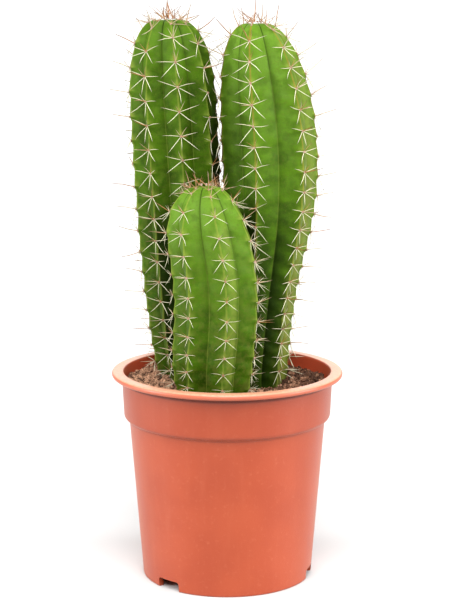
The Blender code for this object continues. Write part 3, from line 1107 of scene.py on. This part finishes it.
class SpineKind(Enum):
    """The places a spine has in its areole's star, each with how brown it stays and how thick it is."""

    LOWER = (0.0, 1.0)
    LATERAL = (0.2, 1.0)
    DOWN = (0.15, 1.0)
    CENTRAL = (0.75, 1.5)
    UPPER = (0.8, 0.85)

    @property
    def brown(self) -> float:
        """How brown it stays, from 0 to 1."""
        return self.value[0]

    @property
    def thickness(self) -> float:
        """Its thickness, as a share of the thickest's."""
        return self.value[1]


@dataclass(frozen=True)
class Spine:
    """A spine's direction, as shares across the rib, along it to the tip and outwards."""

    kind: SpineKind
    across: float
    along: float
    outward: float
    length: float
    share: float


@dataclass(frozen=True)
class Areole:
    """One areole: its distance from the tip, its point, and the directions at it."""

    distance: float
    point: Vector
    outward: Vector
    along: Vector
    across: Vector


@dataclass
class Soil:
    """The pot's filling: a lumpy bed with the stems' holes, covered in crumbs."""

    pot: Pot
    stems: Sequence[Stem]
    middle: float = 138.5 * MM
    bowl: float = 8.0 * MM
    bowl_power: float = 1.5
    left_rise: float = 1.5 * MM
    lump: float = 0.7 * MM
    lump_sizes: tuple[float, float, float] = (21.7 * MM, 18.9 * MM, 30.1 * MM)
    diagonal_share: float = 0.6
    gap: float = 0.3 * MM
    sink: float = 0.9 * MM
    hole_clearance: float = 1.2 * MM
    rings: int = 68
    steps: int = 200
    surface_margin: float = 0.1 * MM
    rough_size: float = 5 * MM
    rough_depth: float = 0.9 * MM
    bed_tone: float = 0.4
    bed_dark: float = 0.75
    bed_sharp_degrees: float = 50.0
    crumbs: int = 1150
    crumb_radii: tuple[float, float] = (1.1 * MM, 2.6 * MM)
    crumb_shapes: int = 6
    dust: int = 3300
    dust_radii: tuple[float, float] = (0.45 * MM, 1.2 * MM)
    dust_shapes: int = 4
    small_power: float = 2.2
    crumb_swell: float = 0.8
    crumb_swell_size: float = 1.4
    crumb_swell_shift: tuple[float, float] = (7.3, 1.7)
    crumb_sharp_degrees: float = 30.0
    cover_share: float = 0.35
    sitting: tuple[float, float] = (-0.1, 0.75)
    widths: tuple[float, float] = (0.5, 1.0)
    depths: tuple[float, float] = (0.4, 0.9)
    tumble: float = 0.3
    chip_share: float = 0.16
    chip_length: float = 2.2
    dryness: float = 0.54
    dryness_fall: float = 0.46
    dryness_spread: float = 0.22
    seed: int = 5
    finish: SoilCrumb = field(default_factory=SoilCrumb)

    def height(self, x: Number, y: Number) -> Number:
        """The soil's mean surface: a bowl with a rise at the left, and small lumps.

        Args:
            x: The place's X.
            y: The place's Y.

        Returns:
            The surface's height there.
        """
        share = np.hypot(x, y) / self.pot.band_radius
        size_x, size_y, diagonal = self.lump_sizes
        lump = np.sin(math.tau * x / size_x + 1.0) * np.sin(math.tau * y / size_y)
        lump = lump + self.diagonal_share * np.sin(math.tau * (x + y) / diagonal)
        bowl = self.bowl * share**self.bowl_power
        return self.middle + bowl - self.left_rise * x / self.pot.band_radius + self.lump * lump

    def profile(self) -> list[tuple[float, float]]:
        """Soil up to its surface, inside the pot's wall and on its floor.

        Returns:
            The profile's points, each a radius and a height.
        """
        pot = self.pot
        edge = pot.band_radius - pot.wall - self.gap
        floor = pot.floor_top + self.gap
        corner = 3 * pot.wall
        floor_edge = pot.body_radius(floor + corner) - pot.wall - self.gap
        side = [(edge * ring / self.rings, self.middle) for ring in range(self.rings + 1)]
        side += [(edge, pot.band_bottom + pot.band_corner)]
        side += [(pot.body_top_radius - pot.wall - self.gap, pot.body_top)]
        return side + arc((floor_edge - corner, floor + corner), corner, 0, -90, 4) + [(0.0, floor)]

    def hole(self, stem: Stem) -> bpy.types.Object:
        """A drill for the plain round hole that a stem stands in.

        Args:
            stem: The stem.

        Returns:
            The drill.
        """
        radius = float(stem.crest_radius(stem.ground + stem.buried_taper / 2)) + self.hole_clearance
        reach = 2 * stem.buried_depth
        floor = stem.ground - stem.buried_depth - self.gap
        place = (*stem.foot, floor + reach / 2)
        sizes = {"vertices": 48, "radius": radius, "depth": reach}
        return Bench.primitive(bpy.ops.mesh.primitive_cylinder_add, "hole", location=place, **sizes)

    def build_bed(self) -> bpy.types.Object:
        """The soil's body, with a rough surface.

        Returns:
            The bed, dressed.
        """
        bed = Bench.spun("soil_bed", self.profile(), self.steps)
        for stem in self.stems:
            Bench.cut(bed, [self.hole(stem)])
        points = Bench.points(bed)
        top = points[:, 2] > self.middle - self.surface_margin
        rough = np.array([noise.fractal(Vector(p) / self.rough_size, 1.0, 2.0, 4) for p in points[top]])
        level = self.height(points[top, 0], points[top, 1])
        points[top, 2] = level - self.sink + self.rough_depth * rough
        Bench.move(bed, points)
        Bench.mark(bed.data, "tone", self.bed_tone)
        Bench.smooth(bed, self.bed_sharp_degrees)
        Bench.dress(bed, self.finish.material("soil_bed", self.bed_dark), "potting_soil")
        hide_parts("soil")
        return bed

    def crumb(self, number: int, subdivisions: int) -> bpy.types.Object:
        """A lump of soil of about unit radius.

        Args:
            number: Which lump, which sets its shape.
            subdivisions: How fine its ball is to begin with.

        Returns:
            The lump.
        """
        sizes = {"subdivisions": subdivisions, "radius": 1.0}
        ball = Bench.primitive(bpy.ops.mesh.primitive_ico_sphere_add, "crumb", **sizes)
        points = Bench.points(ball)
        place = Vector([number * shift for shift in self.crumb_swell_shift] + [0.0])
        swell = np.array([noise.noise(Vector(p) * self.crumb_swell_size + place) for p in points])
        Bench.move(ball, points * (1 + self.crumb_swell * swell[:, None]))
        Bench.smooth(ball, self.crumb_sharp_degrees)
        return ball

    def free_spot(self, draw: random.Random, reach: float) -> tuple[float, float] | None:
        """A random place on the surface that no stem covers.

        Args:
            draw: The source of random numbers.
            reach: The radius of what will lie there.

        Returns:
            The place, or None where a stem covers it.
        """
        edge = self.pot.band_radius - self.pot.wall - self.gap - reach
        distance = edge * math.sqrt(draw.random())
        x, y, _ = around(draw.uniform(-math.pi, math.pi), distance)
        for stem in self.stems:
            away_x, away_y = x - stem.foot[0], y - stem.foot[1]
            angle = math.atan2(away_x, -away_y)
            turn = (angle - float(stem.crest_angle(0, stem.ground))) * stem.ribs / math.tau
            radius = float(stem.radius(2 * abs(turn - round(turn)), 0.5, stem.ground + MM))
            if math.hypot(away_x, away_y) < radius + self.cover_share * reach:
                return None
        return x, y

    def scatter(self, draw: random.Random, count: int, radii: tuple[float, float],
                shapes: range) -> list[Placing]:
        """Place crumbs over the surface.

        Args:
            draw: The source of random numbers.
            count: The number of tries.
            radii: The smallest and largest radius.
            shapes: Which shapes to use.

        Returns:
            The crumbs' placings.
        """
        placings = []
        for _ in range(count):
            radius = radii[0] + (radii[1] - radii[0]) * draw.random() ** self.small_power
            spot = self.free_spot(draw, radius)
            if spot is None:
                continue
            x, y = spot
            z = float(self.height(x, y)) - self.sink + radius * draw.uniform(*self.sitting)
            angle = draw.uniform(0, math.tau)
            turn = Matrix.Rotation(angle, 4, Vector((draw.random(), draw.random(), self.tumble)))
            length = self.chip_length if draw.random() < self.chip_share else 1.0
            sizes = (length, draw.uniform(*self.widths), draw.uniform(*self.depths))
            stretch = Matrix.Diagonal((*(radius * size for size in sizes), 1.0))
            dryness = self.dryness - self.dryness_fall * x / self.pot.band_radius
            marks = {"tone": min(max(dryness + draw.gauss(0.0, self.dryness_spread), 0.0), 1.0)}
            shape = draw.choice(shapes)
            placings.append(Placing(shape, Matrix.Translation((x, y, z)) @ turn @ stretch, marks))
        return placings

    def build_crumbs(self) -> bpy.types.Object:
        """Coarse and fine crumbs that cover the bed.

        Returns:
            The crumbs, dressed.
        """
        draw = random.Random(self.seed)
        coarse = range(self.crumb_shapes)
        fine = range(self.crumb_shapes, self.crumb_shapes + self.dust_shapes)
        shapes = [self.crumb(number, 2) for number in coarse] + [self.crumb(number, 1) for number in fine]
        placings = self.scatter(draw, self.crumbs, self.crumb_radii, coarse)
        placings += self.scatter(draw, self.dust, self.dust_radii, fine)
        crumbs = Bench.copies(shapes, placings, "soil_crumbs")
        Bench.dress(crumbs, self.finish.material("soil_crumbs", 0.0), "potting_soil")
        return crumbs


@dataclass
class Cactus:
    """One stem's flesh, its areoles' felt and its spines."""

    stem: Stem
    others: Sequence[Stem]
    soil: Soil
    crest_gather: float = 0.55
    uneven_size: float = 26.0 * MM
    uneven_share: float = 0.014
    # Paler young flesh near the tip, and paler flesh towards the top, which is partly painted top light.
    tip_youth: float = 0.45
    tip_youth_reach: float = 50.0 * MM
    youth_power: float = 1.6
    # Old flesh and painted shade towards the soil.
    age_and_shade_power: float = 1.5
    # Dry skin and painted side light on the dry flanks fade upwards.
    dryness_fall: float = 0.65
    # How the bands of painted light beside a crest fade upwards.
    painted_light_stripe_power: int = 4
    side_shade: float = 0.35
    facing_shade: float = 0.85
    spine_sides: int = 5
    spine_radius: float = 0.225 * MM
    spine_rings: tuple[tuple[float, float], ...] = (
        (0.0, 1.3), (0.07, 1.0), (0.5, 0.95), (0.85, 0.68), (1.0, 0.12))
    spine_bows: tuple[float, ...] = (0.0, 0.45 * MM, -0.675 * MM)
    low_smaller: float = 0.22
    root: float = 0.3 * MM
    jitter: float = 0.12
    length_spread: tuple[float, float] = (0.80, 1.04)
    young_reach: float = 34.0 * MM
    young_lift: float = 0.25
    young_stand: float = 0.5
    young_brown: float = 1.3
    crown_reach: float = 26.0 * MM
    young_fewer: float = 0.93
    young_shorter: float = 0.1
    clearance: float = 0.8 * MM
    probes: int = 7
    bends: tuple[float, ...] = (0.0, 0.4, 0.9, 1.6)
    bend_up: float = 0.5
    felt_size: tuple[float, float, float] = (0.75 * MM, 1.0 * MM, 0.6 * MM)
    felt_spread: tuple[float, float] = (0.85, 1.15)
    felt_turn: float = 0.4
    felt_reach: float = 130.0 * MM
    tufts: int = 9
    tuft_turn: float = 0.382 * math.tau
    tuft_lean: tuple[float, float] = (0.4, 0.06)
    tuft_rise: float = 0.8
    tuft_radius: float = 0.22
    tuft_length: float = 1.1
    tuft_place: float = 0.85
    star: tuple[Spine, ...] = (
        Spine(SpineKind.LOWER, -0.72, -0.66, 0.26, 16.5 * MM, 1.0),
        Spine(SpineKind.LOWER, 0.72, -0.66, 0.26, 16.5 * MM, 1.0),
        Spine(SpineKind.LATERAL, -0.94, 0.18, 0.26, 15.5 * MM, 1.0),
        Spine(SpineKind.LATERAL, 0.94, 0.18, 0.26, 15.5 * MM, 1.0),
        Spine(SpineKind.DOWN, 0.02, -0.98, 0.24, 13.0 * MM, 0.6),
        Spine(SpineKind.CENTRAL, 0.05, 0.18, 0.97, 18.0 * MM, 0.85),
        Spine(SpineKind.UPPER, -0.40, 0.78, 0.46, 10.0 * MM, 0.7),
        Spine(SpineKind.UPPER, 0.42, 0.72, 0.50, 9.0 * MM, 0.6),
    )

    def net_coordinates(self, points: np.ndarray,
                        heights: np.ndarray) -> tuple[np.ndarray, np.ndarray, np.ndarray]:
        """Where each point of a unit sphere's net goes on the stem.

        Args:
            points: The sphere's points.
            heights: The stem's ring heights.

        Returns:
            The ring number, the number of rib turns from the first crest, and the share off the crest.
        """
        last = len(heights) - 1
        ring = np.rint(np.arccos(np.clip(points[:, 2], -1.0, 1.0)) / np.pi * last).astype(int)
        turn = np.arctan2(points[:, 0], -points[:, 1]) * self.stem.ribs / math.tau
        side = turn - np.rint(turn)
        tight = 2 * np.abs(side)
        off = tight - self.crest_gather * np.sin(math.tau * tight) / math.tau
        return ring, np.rint(turn) + np.sign(side) * off / 2, off

    def areole_phase(self, crest: np.ndarray, height: np.ndarray) -> tuple[np.ndarray, np.ndarray]:
        """How far points lie between the areoles of their crest.

        Args:
            crest: Each point's nearest crest.
            height: Each point's height.

        Returns:
            The phase, 0 just below an areole and 1 at the next one, and the distance from the tip.
        """
        phase = np.zeros(len(crest))
        distance = np.zeros(len(crest))
        for number in range(self.stem.ribs):
            mine = crest == number
            heights, lengths = self.stem.crest_line(number)
            reach = np.interp(-height[mine], -heights, lengths)
            marks = np.array([0.0] + self.stem.areole_distances(number, lengths[-1]))
            index = np.clip(np.searchsorted(marks, reach, side="left"), 1, len(marks) - 1)
            phase[mine] = (reach - marks[index - 1]) / (marks[index] - marks[index - 1])
            distance[mine] = reach
        return phase, distance

    def build_flesh(self, material: bpy.types.Material) -> bpy.types.Object:
        """The ribbed column, drawn out of a sphere's net.

        Args:
            material: The flesh.

        Returns:
            The column, dressed.
        """
        stem = self.stem
        heights = stem.ring_heights()
        sizes = {"segments": stem.ribs * stem.sides, "ring_count": len(heights) - 1, "radius": 1.0}
        column = Bench.primitive(bpy.ops.mesh.primitive_uv_sphere_add, f"{stem.name}_flesh", **sizes)
        ring, turn, off = self.net_coordinates(Bench.points(column), heights)
        height = heights[ring]
        crest = np.rint(turn).astype(int) % stem.ribs
        phase, distance = self.areole_phase(crest, height)
        pole = (ring == 0) | (ring == len(heights) - 1)
        radius = np.where(pole, 0.0, stem.radius(off, phase, height))
        angle = stem.crest_angle(turn, height)
        x, y = stem.axis(height)
        points = np.stack([x + radius * np.sin(angle), y - radius * np.cos(angle), height], 1)
        place = Vector((0.0, 0.0, stem.seed))
        uneven = [noise.fractal(Vector(p) / self.uneven_size + place, 1.0, 2.0, 3) for p in points]
        swollen = radius * (1 + self.uneven_share * np.array(uneven))
        sunk = stem.crown_dip * np.exp(-((radius / stem.crown_reach) ** 2)) * (height > stem.ground)
        points = np.stack([x + swollen * np.sin(angle), y - swollen * np.cos(angle), height - sunk], 1)
        Bench.move(column, points)

        half_rib = math.pi * np.maximum(radius, MM) / stem.ribs
        rise = np.clip((height - stem.ground) / (stem.tip - stem.ground), 0.0, 1.0)
        # Youth: young flesh at the tip, and paler towards the top, which is partly painted top light.
        young = self.tip_youth * np.exp(-distance / self.tip_youth_reach)
        young = young + stem.youth * rise**self.youth_power
        marks = {
            "crest_distance": off * half_rib,
            "groove_distance": (1 - off) * half_rib,
            "areole_phase": phase,
            "youth": np.clip(young, 0.0, 1.0),
            "crown": stem.crown(height),
            # Old flesh and painted shade towards the soil.
            "age": np.clip(1 - (height - stem.ground) / stem.age_and_shade_reach, 0.0, 1.0) ** self.age_and_shade_power,
            # Dry skin and painted side light.
            "dryness": self.along_flanks(stem.dry_and_lit_flanks, turn) * (1 - self.dryness_fall * rise),
            # Bands of painted light beside a crest.
            "painted_light_stripe": self.along_flanks(stem.painted_light_stripes, turn) * (1 - rise**self.painted_light_stripe_power),
            "rust": stem.rust * rise,
            # Painted shade in the clefts between stems.
            "shade": np.maximum(self.shade(points, Bench.points(column, "normal")), self.dim(turn, height)),
        }
        for name, values in marks.items():
            Bench.mark(column.data, name, values)
        Bench.smooth(column)
        Bench.dress(column, material, "cactus_flesh")
        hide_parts(stem.name)
        return column

    def dim(self, turn: np.ndarray, height: np.ndarray) -> np.ndarray:
        """Shade that other stems throw on a flank.

        Args:
            turn: Each point's place in rib turns.
            height: Each point's height.

        Returns:
            The depth of shade at each point.
        """
        total = np.zeros(len(turn))
        for place, half_width, middle, half_height, strength in self.stem.dim_patches:
            spread = ((turn - place) / half_width) ** 2 + ((height - middle) / half_height) ** 2
            total = np.maximum(total, strength * np.exp(-(spread**2)))
        return total

    @staticmethod
    def along_flanks(bands: Sequence[tuple[float, float, float]], turn: np.ndarray) -> np.ndarray:
        """Where bands run along the stem.

        Args:
            bands: For each, its place in rib turns from the first crest, its half width and its strength.
            turn: Each point's place in rib turns.

        Returns:
            The bands' strength at each point.
        """
        total = np.zeros(len(turn))
        for place, half_width, strength in bands:
            total += strength * np.exp(-(((turn - place) / half_width) ** 4))
        return total

    def shade(self, points: np.ndarray, normals: np.ndarray) -> np.ndarray:
        """How deep points lie between this stem and others that they face.

        Args:
            points: The flesh's points.
            normals: The flesh's normals at them.

        Returns:
            The depth of shade, from 0 in the open to 1 deep in a cleft.
        """
        total = np.zeros(len(points))
        height = points[:, 2]
        for other in self.others:
            level = np.minimum(height, other.tip)
            towards = np.stack(other.axis(level), 1) - points[:, :2]
            away = np.linalg.norm(towards, axis=1)
            facing = (normals[:, :2] * towards).sum(1) / away
            gap = np.maximum(np.hypot(away, height - level) - other.crest_radius(level), 0.0)
            near = np.exp(-((gap / other.shade_reach) ** 2))
            depth = np.clip((other.tip - height) / other.shade_depth, 0.0, 1.0)
            turned = np.clip(self.side_shade + self.facing_shade * facing, 0.0, 1.0)
            total = np.maximum(total, near * depth * turned)
        return total

    def areoles(self) -> list[Areole]:
        """The stem's areoles, with the directions along the crest, across it and outwards.

        Returns:
            The areoles, crest by crest and from the tip down.
        """
        stem = self.stem
        found = []
        for crest in range(stem.ribs):
            heights, lengths = stem.crest_line(crest)
            for distance in stem.areole_distances(crest, lengths[-1])[:-1]:
                height = float(np.interp(distance, lengths, heights))
                angle = float(stem.crest_angle(crest, height))
                steps = (MM / 2, 0.0, -MM / 2)
                above, point, below = (self.crest_point(crest, height + step) for step in steps)
                along = (above - below).normalized()
                across = around(angle, 1.0).cross(Vector((0, 0, 1))).normalized()
                outward = along.cross(across).normalized()
                if outward.dot(around(angle, 1.0, 0.5)) < 0:
                    outward.negate()
                found.append(Areole(distance, point, outward, along, across))
        return found

    def crest_point(self, crest: int, height: float) -> Vector:
        """The point of a crest at a height, on the step that carries an areole.

        Args:
            crest: Which crest.
            height: The height, which may lie above the tip.

        Returns:
            The point.
        """
        height = min(height, self.stem.tip)
        radius = float(self.stem.radius(0.0, 1.0, height))
        angle = float(self.stem.crest_angle(crest, height))
        x, y = self.stem.axis(height)
        return Vector((float(x), float(y), 0.0)) + around(angle, radius, height)

    def is_clear(self, start: Vector, end: Vector) -> bool:
        """Whether a spine misses the other stems, the soil and the pot.

        Args:
            start: The spine's root.
            end: Its tip.

        Returns:
            True if it does.
        """
        pot = self.soil.pot
        for probe in range(1, self.probes + 1):
            point = start.lerp(end, probe / self.probes)
            if point.z < float(self.soil.height(point.x, point.y)) + self.clearance:
                return False
            low = point.z < pot.rim_height + self.clearance
            if low and math.hypot(point.x, point.y) > pot.band_top_radius - pot.wall - self.clearance:
                return False
            for other in self.others:
                x, y = other.axis(point.z)
                away = math.hypot(point.x - float(x), point.y - float(y))
                if point.z < other.tip and away < float(other.crest_radius(point.z)) + self.clearance:
                    return False
        return True

    def spine_placing(self, spine: Spine, areole: Areole, draw: random.Random) -> Placing | None:
        """Place one spine, bent outwards until it is clear.

        Args:
            spine: The spine's place in the star.
            areole: The areole it grows from.
            draw: The source of random numbers.

        Returns:
            Its placing, or None where nothing is clear.
        """
        young = max(1 - areole.distance / self.young_reach, 0.0)
        length = spine.length * draw.uniform(*self.length_spread) * (1 - self.young_shorter * young)
        grown = 1 - self.low_smaller * areole.distance / (self.stem.tip - self.stem.ground)
        length *= self.stem.spine_share * grown
        wobble = Vector([draw.gauss(0.0, self.jitter) for _ in range(3)])
        tone = draw.random()
        shape = draw.randrange(len(self.spine_bows))
        roll = draw.uniform(0, math.tau)
        for bend in self.bends:
            direction = areole.across * spine.across + wobble
            direction += areole.along * (spine.along + self.young_lift * young + self.bend_up * bend)
            direction += areole.outward * (spine.outward + self.young_stand * young + bend)
            direction.normalize()
            end = areole.point + direction * length
            if self.is_clear(areole.point, end):
                root = areole.point - areole.outward * self.root
                thick = spine.kind.thickness * grown * self.stem.spine_share
                stretch = Matrix.Diagonal((thick, thick, (end - root).length, 1.0))
                turn = (end - root).to_track_quat("Z", "Y").to_matrix().to_4x4()
                matrix = Matrix.Translation(root) @ turn @ Matrix.Rotation(roll, 4, "Z") @ stretch
                brown = min(max(young * self.young_brown, spine.kind.brown * (0.5 + tone)), 1.0)
                return Placing(shape, matrix, {"youth": brown, "tone": tone})
        return None

    def spine_shape(self, bow: float) -> bpy.types.Object:
        """A slender horn of unit length with a swollen root, drawn out of a small circle.

        Args:
            bow: How far its middle is bent aside.

        Returns:
            The spine, with the share of its length written at each point.
        """
        rings = self.spine_rings
        start = {"vertices": self.spine_sides, "radius": self.spine_radius * rings[0][1], "fill_type": "NGON"}
        horn = Bench.primitive(bpy.ops.mesh.primitive_circle_add, "spine", **start)
        with Bench.editing(horn):
            for (low, wide), (high, narrow) in zip(rings, rings[1:]):
                bpy.ops.mesh.extrude_region_move(TRANSFORM_OT_translate={"value": (0, 0, high - low)})
                size = narrow / wide
                bpy.ops.transform.resize(value=(size, size, 1.0), center_override=(0, 0, high))
            bpy.ops.mesh.select_all(action="SELECT")
            bpy.ops.mesh.normals_make_consistent(inside=False)
        points = Bench.points(horn)
        points[:, 0] += 4 * bow * points[:, 2] * (1 - points[:, 2])
        Bench.move(horn, points)
        Bench.mark(horn.data, "reach", points[:, 2])
        Bench.smooth(horn)
        return horn

    def build_spines(self, areoles: Sequence[Areole], material: bpy.types.Material) -> bpy.types.Object:
        """All of the stem's spines.

        Args:
            areoles: The areoles they grow from.
            material: The spines' horn.

        Returns:
            The spines as one piece, dressed.
        """
        draw = random.Random(self.stem.seed)
        shapes = [self.spine_shape(bow) for bow in self.spine_bows]
        placings = []
        for areole in areoles:
            crowding = max(1 - areole.distance / self.crown_reach, 0.0) * self.young_fewer
            for spine in self.star:
                if draw.random() < spine.share * (1 - crowding):
                    placings.append(self.spine_placing(spine, areole, draw))
        spines = Bench.copies(shapes, [p for p in placings if p], f"{self.stem.name}_spines")
        Bench.dress(spines, material, "cactus_spine")
        return spines

    def felt_shape(self) -> bpy.types.Object:
        """A small cushion of felt with tufts of wool standing out of it.

        Returns:
            The cushion, of about unit radius.
        """
        parts = [Bench.primitive(bpy.ops.mesh.primitive_ico_sphere_add, "felt", subdivisions=1, radius=1.0)]
        for number in range(self.tufts):
            angle = number * self.tuft_turn
            aside = self.tuft_lean[0] + self.tuft_lean[1] * number
            lean = Vector((math.sin(angle) * aside, math.cos(angle) * aside, self.tuft_rise))
            sizes = {"vertices": 3, "radius1": self.tuft_radius, "radius2": 0.0, "depth": self.tuft_length}
            parts.append(Bench.primitive(
                bpy.ops.mesh.primitive_cone_add, "tuft", location=lean * self.tuft_place,
                rotation=lean.to_track_quat("Z", "Y").to_euler(), **sizes))
        return Bench.join(parts, "felt")

    def build_felt(self, areoles: Sequence[Areole], material: bpy.types.Material) -> bpy.types.Object:
        """The felt of all the stem's areoles.

        Args:
            areoles: The areoles.
            material: The felt.

        Returns:
            The felt as one piece, dressed.
        """
        draw = random.Random(self.stem.seed + 1)
        placings = []
        for areole in areoles:
            axes = Matrix((areole.across, areole.along, areole.outward)).transposed().to_4x4()
            size = Matrix.Diagonal((*(s * draw.uniform(*self.felt_spread) for s in self.felt_size), 1.0))
            spin = Matrix.Rotation(draw.uniform(-self.felt_turn, self.felt_turn), 4, "Z")
            young = math.exp(-areole.distance / self.felt_reach)
            matrix = Matrix.Translation(areole.point) @ axes @ spin @ size
            placings.append(Placing(0, matrix, {"youth": young}))
        felt = Bench.copies([self.felt_shape()], placings, f"{self.stem.name}_felt")
        Bench.dress(felt, material, "areole_felt")
        return felt


@dataclass(frozen=True)
class Lamp:
    """A distant, soft lamp: its name, the direction it shines from, its strength and its width."""

    name: str
    shines_from: tuple[float, float, float]
    strength: float
    width: float


@dataclass
class Studio:
    """A white floor, soft lights and the camera."""

    floor_size: float = 600.0
    view_reach: float = 1000.0
    camera_place: tuple[float, float, float] = (0.0, -1.24295, 0.42965)
    camera_pitch: float = math.radians(90) - 0.178
    camera_yaw: float = 0.0013
    focal_pixels: float = 1723.0
    image_height: float = 600.0
    sensor: float = 36.0
    sky: float = 0.17
    lamps: tuple[Lamp, ...] = (
        Lamp("left_edge", (-1.0, -0.18, 0.26), 3.1, math.radians(30)),
        Lamp("right_edge", (1.0, -0.22, 0.26), 3.4, math.radians(30)),
        Lamp("front", (0.03, -0.80, 1.05), 4.8, math.radians(50)),
        Lamp("back", (0.0, 0.90, 0.60), 1.4, math.radians(60)),
    )
    finish: StudioWhite = field(default_factory=StudioWhite)

    def build_floor(self) -> None:
        """The floor that the pot stands on."""
        floor = Bench.primitive(bpy.ops.mesh.primitive_plane_add, "studio_floor", size=self.floor_size)
        floor.data.materials.append(self.finish.material())

    def build_camera(self) -> None:
        """The camera at the photograph's place and angle."""
        data = bpy.data.cameras.new("camera")
        data.sensor_width = self.sensor
        data.lens = self.focal_pixels / self.image_height * self.sensor
        data.clip_end = self.view_reach
        camera = bpy.data.objects.new("camera", data)
        camera.location = self.camera_place
        camera.rotation_euler = (self.camera_pitch, 0.0, self.camera_yaw)
        bpy.context.scene.collection.objects.link(camera)
        bpy.context.scene.camera = camera

    def build_lamp(self, lamp: Lamp) -> None:
        """Hang a lamp, which lights all of the floor evenly.

        Args:
            lamp: The lamp.
        """
        data = bpy.data.lights.new(lamp.name, "SUN")
        data.energy = lamp.strength
        data.angle = lamp.width
        light = bpy.data.objects.new(lamp.name, data)
        light.location = lamp.shines_from
        light.rotation_euler = (-Vector(lamp.shines_from)).to_track_quat("-Z", "Y").to_euler()
        bpy.context.scene.collection.objects.link(light)

    def build_sky(self) -> None:
        """Even white light from all round."""
        world = bpy.data.worlds.new("studio")
        world.use_nodes = True
        background = world.node_tree.nodes["Background"]
        background.inputs["Color"].default_value = (1.0, 1.0, 1.0, 1.0)
        background.inputs["Strength"].default_value = self.sky
        bpy.context.scene.world = world

    def build(self) -> None:
        """The whole studio."""
        self.build_floor()
        self.build_camera()
        self.build_sky()
        for lamp in self.lamps:
            self.build_lamp(lamp)
        bpy.context.scene.view_settings.view_transform = "Standard"


STEM_LEFT = Stem(
    name="stem_left", foot=(-27.8 * MM, 35.0 * MM), ground=145.0 * MM, tip=409.5 * MM,
    lean=(-0.0554, 0.0), bow=-1.0 * MM, curl=-0.7 * MM, twist=math.radians(3.6), base_radius=24.8 * MM,
    full_radius=32.4 * MM, swell=45.0 * MM, swell_power=1.0, dome=84.0 * MM, dome_power=2.95, ribs=8,
    first_crest=math.radians(-38), spacing=18.2 * MM, shrink=0.35,
    first_areoles=(20.8 * MM, 28.9 * MM, 16.2 * MM, 24 * MM, 14 * MM, 20 * MM, 28 * MM, 15 * MM),
    seed=11, sides=16, youth=0.02, age_and_shade_reach=280 * MM,
    shade_reach=20 * MM, shade_depth=90 * MM, spine_share=1.08, rust=0.1,
    dim_patches=((0.5, 0.5, 252 * MM, 44 * MM, 0.42), (-0.5, 0.45, 196 * MM, 40 * MM, 0.3)),
)
STEM_RIGHT = Stem(
    name="stem_right", foot=(21.5 * MM, 21.0 * MM), ground=143.0 * MM, tip=407.2 * MM,
    lean=(0.049, 0.03), bow=4.7 * MM, curl=-13.6 * MM, twist=math.radians(-0.7),
    base_radius=24.2 * MM, full_radius=36.1 * MM, swell=110.0 * MM, swell_power=4.17, dome=103.7 * MM,
    dome_power=2.59, ribs=6, first_crest=math.radians(-18), spacing=15.8 * MM, shrink=0.41,
    first_areoles=(12 * MM, 18.7 * MM, 26 * MM, 19 * MM, 14 * MM, 22 * MM),
    seed=23, sides=20, youth=0.45, age_and_shade_reach=100 * MM,
    shade_reach=14 * MM, shade_depth=150 * MM, spine_share=1.08, rust=0.8,
    dry_and_lit_flanks=((1.5, 0.45, 0.75),), dim_patches=((-0.5, 0.45, 328 * MM, 36 * MM, 0.34),),
)
STEM_FRONT = Stem(
    name="stem_front", foot=(-9.1 * MM, -25.0 * MM), ground=140.0 * MM, tip=294.1 * MM,
    lean=(-0.0584, 0.0), bow=6.4 * MM, curl=2.4 * MM, twist=math.radians(-1.1),
    base_radius=26.0 * MM, full_radius=31.7 * MM, swell=17.0 * MM, swell_power=1.0, dome=50.0 * MM,
    dome_power=2.13, ribs=7, first_crest=math.radians(-38.4), spacing=15.9 * MM, shrink=0.35,
    first_areoles=(16.5 * MM, 19.3 * MM, 24.2 * MM, 14 * MM, 23 * MM, 27 * MM, 18 * MM),
    seed=37, sides=20, youth=0.56, age_and_shade_reach=175 * MM,
    shade_reach=42 * MM, shade_depth=42 * MM, spine_share=0.82, rust=0.15, painted_light_stripes=((1.25, 0.18, 0.65),),
)
STEMS = (STEM_LEFT, STEM_RIGHT, STEM_FRONT)


def main() -> None:
    """Build every sub-assembly in order."""
    logging.basicConfig(level=logging.INFO, format="%(name)s %(message)s")
    Studio().build()
    pot = Pot()
    pot.build()
    soil = Soil(pot, STEMS)
    soil.build_bed()
    soil.build_crumbs()
    flesh = CactusFlesh().material()
    horn = SpineHorn().material()
    wool = AreoleFelt().material()
    for stem in STEMS:
        cactus = Cactus(stem, [other for other in STEMS if other is not stem], soil)
        cactus.build_flesh(flesh)
        areoles = cactus.areoles()
        cactus.build_spines(areoles, horn)
        cactus.build_felt(areoles, wool)


if __name__ == "__main__":
    main()
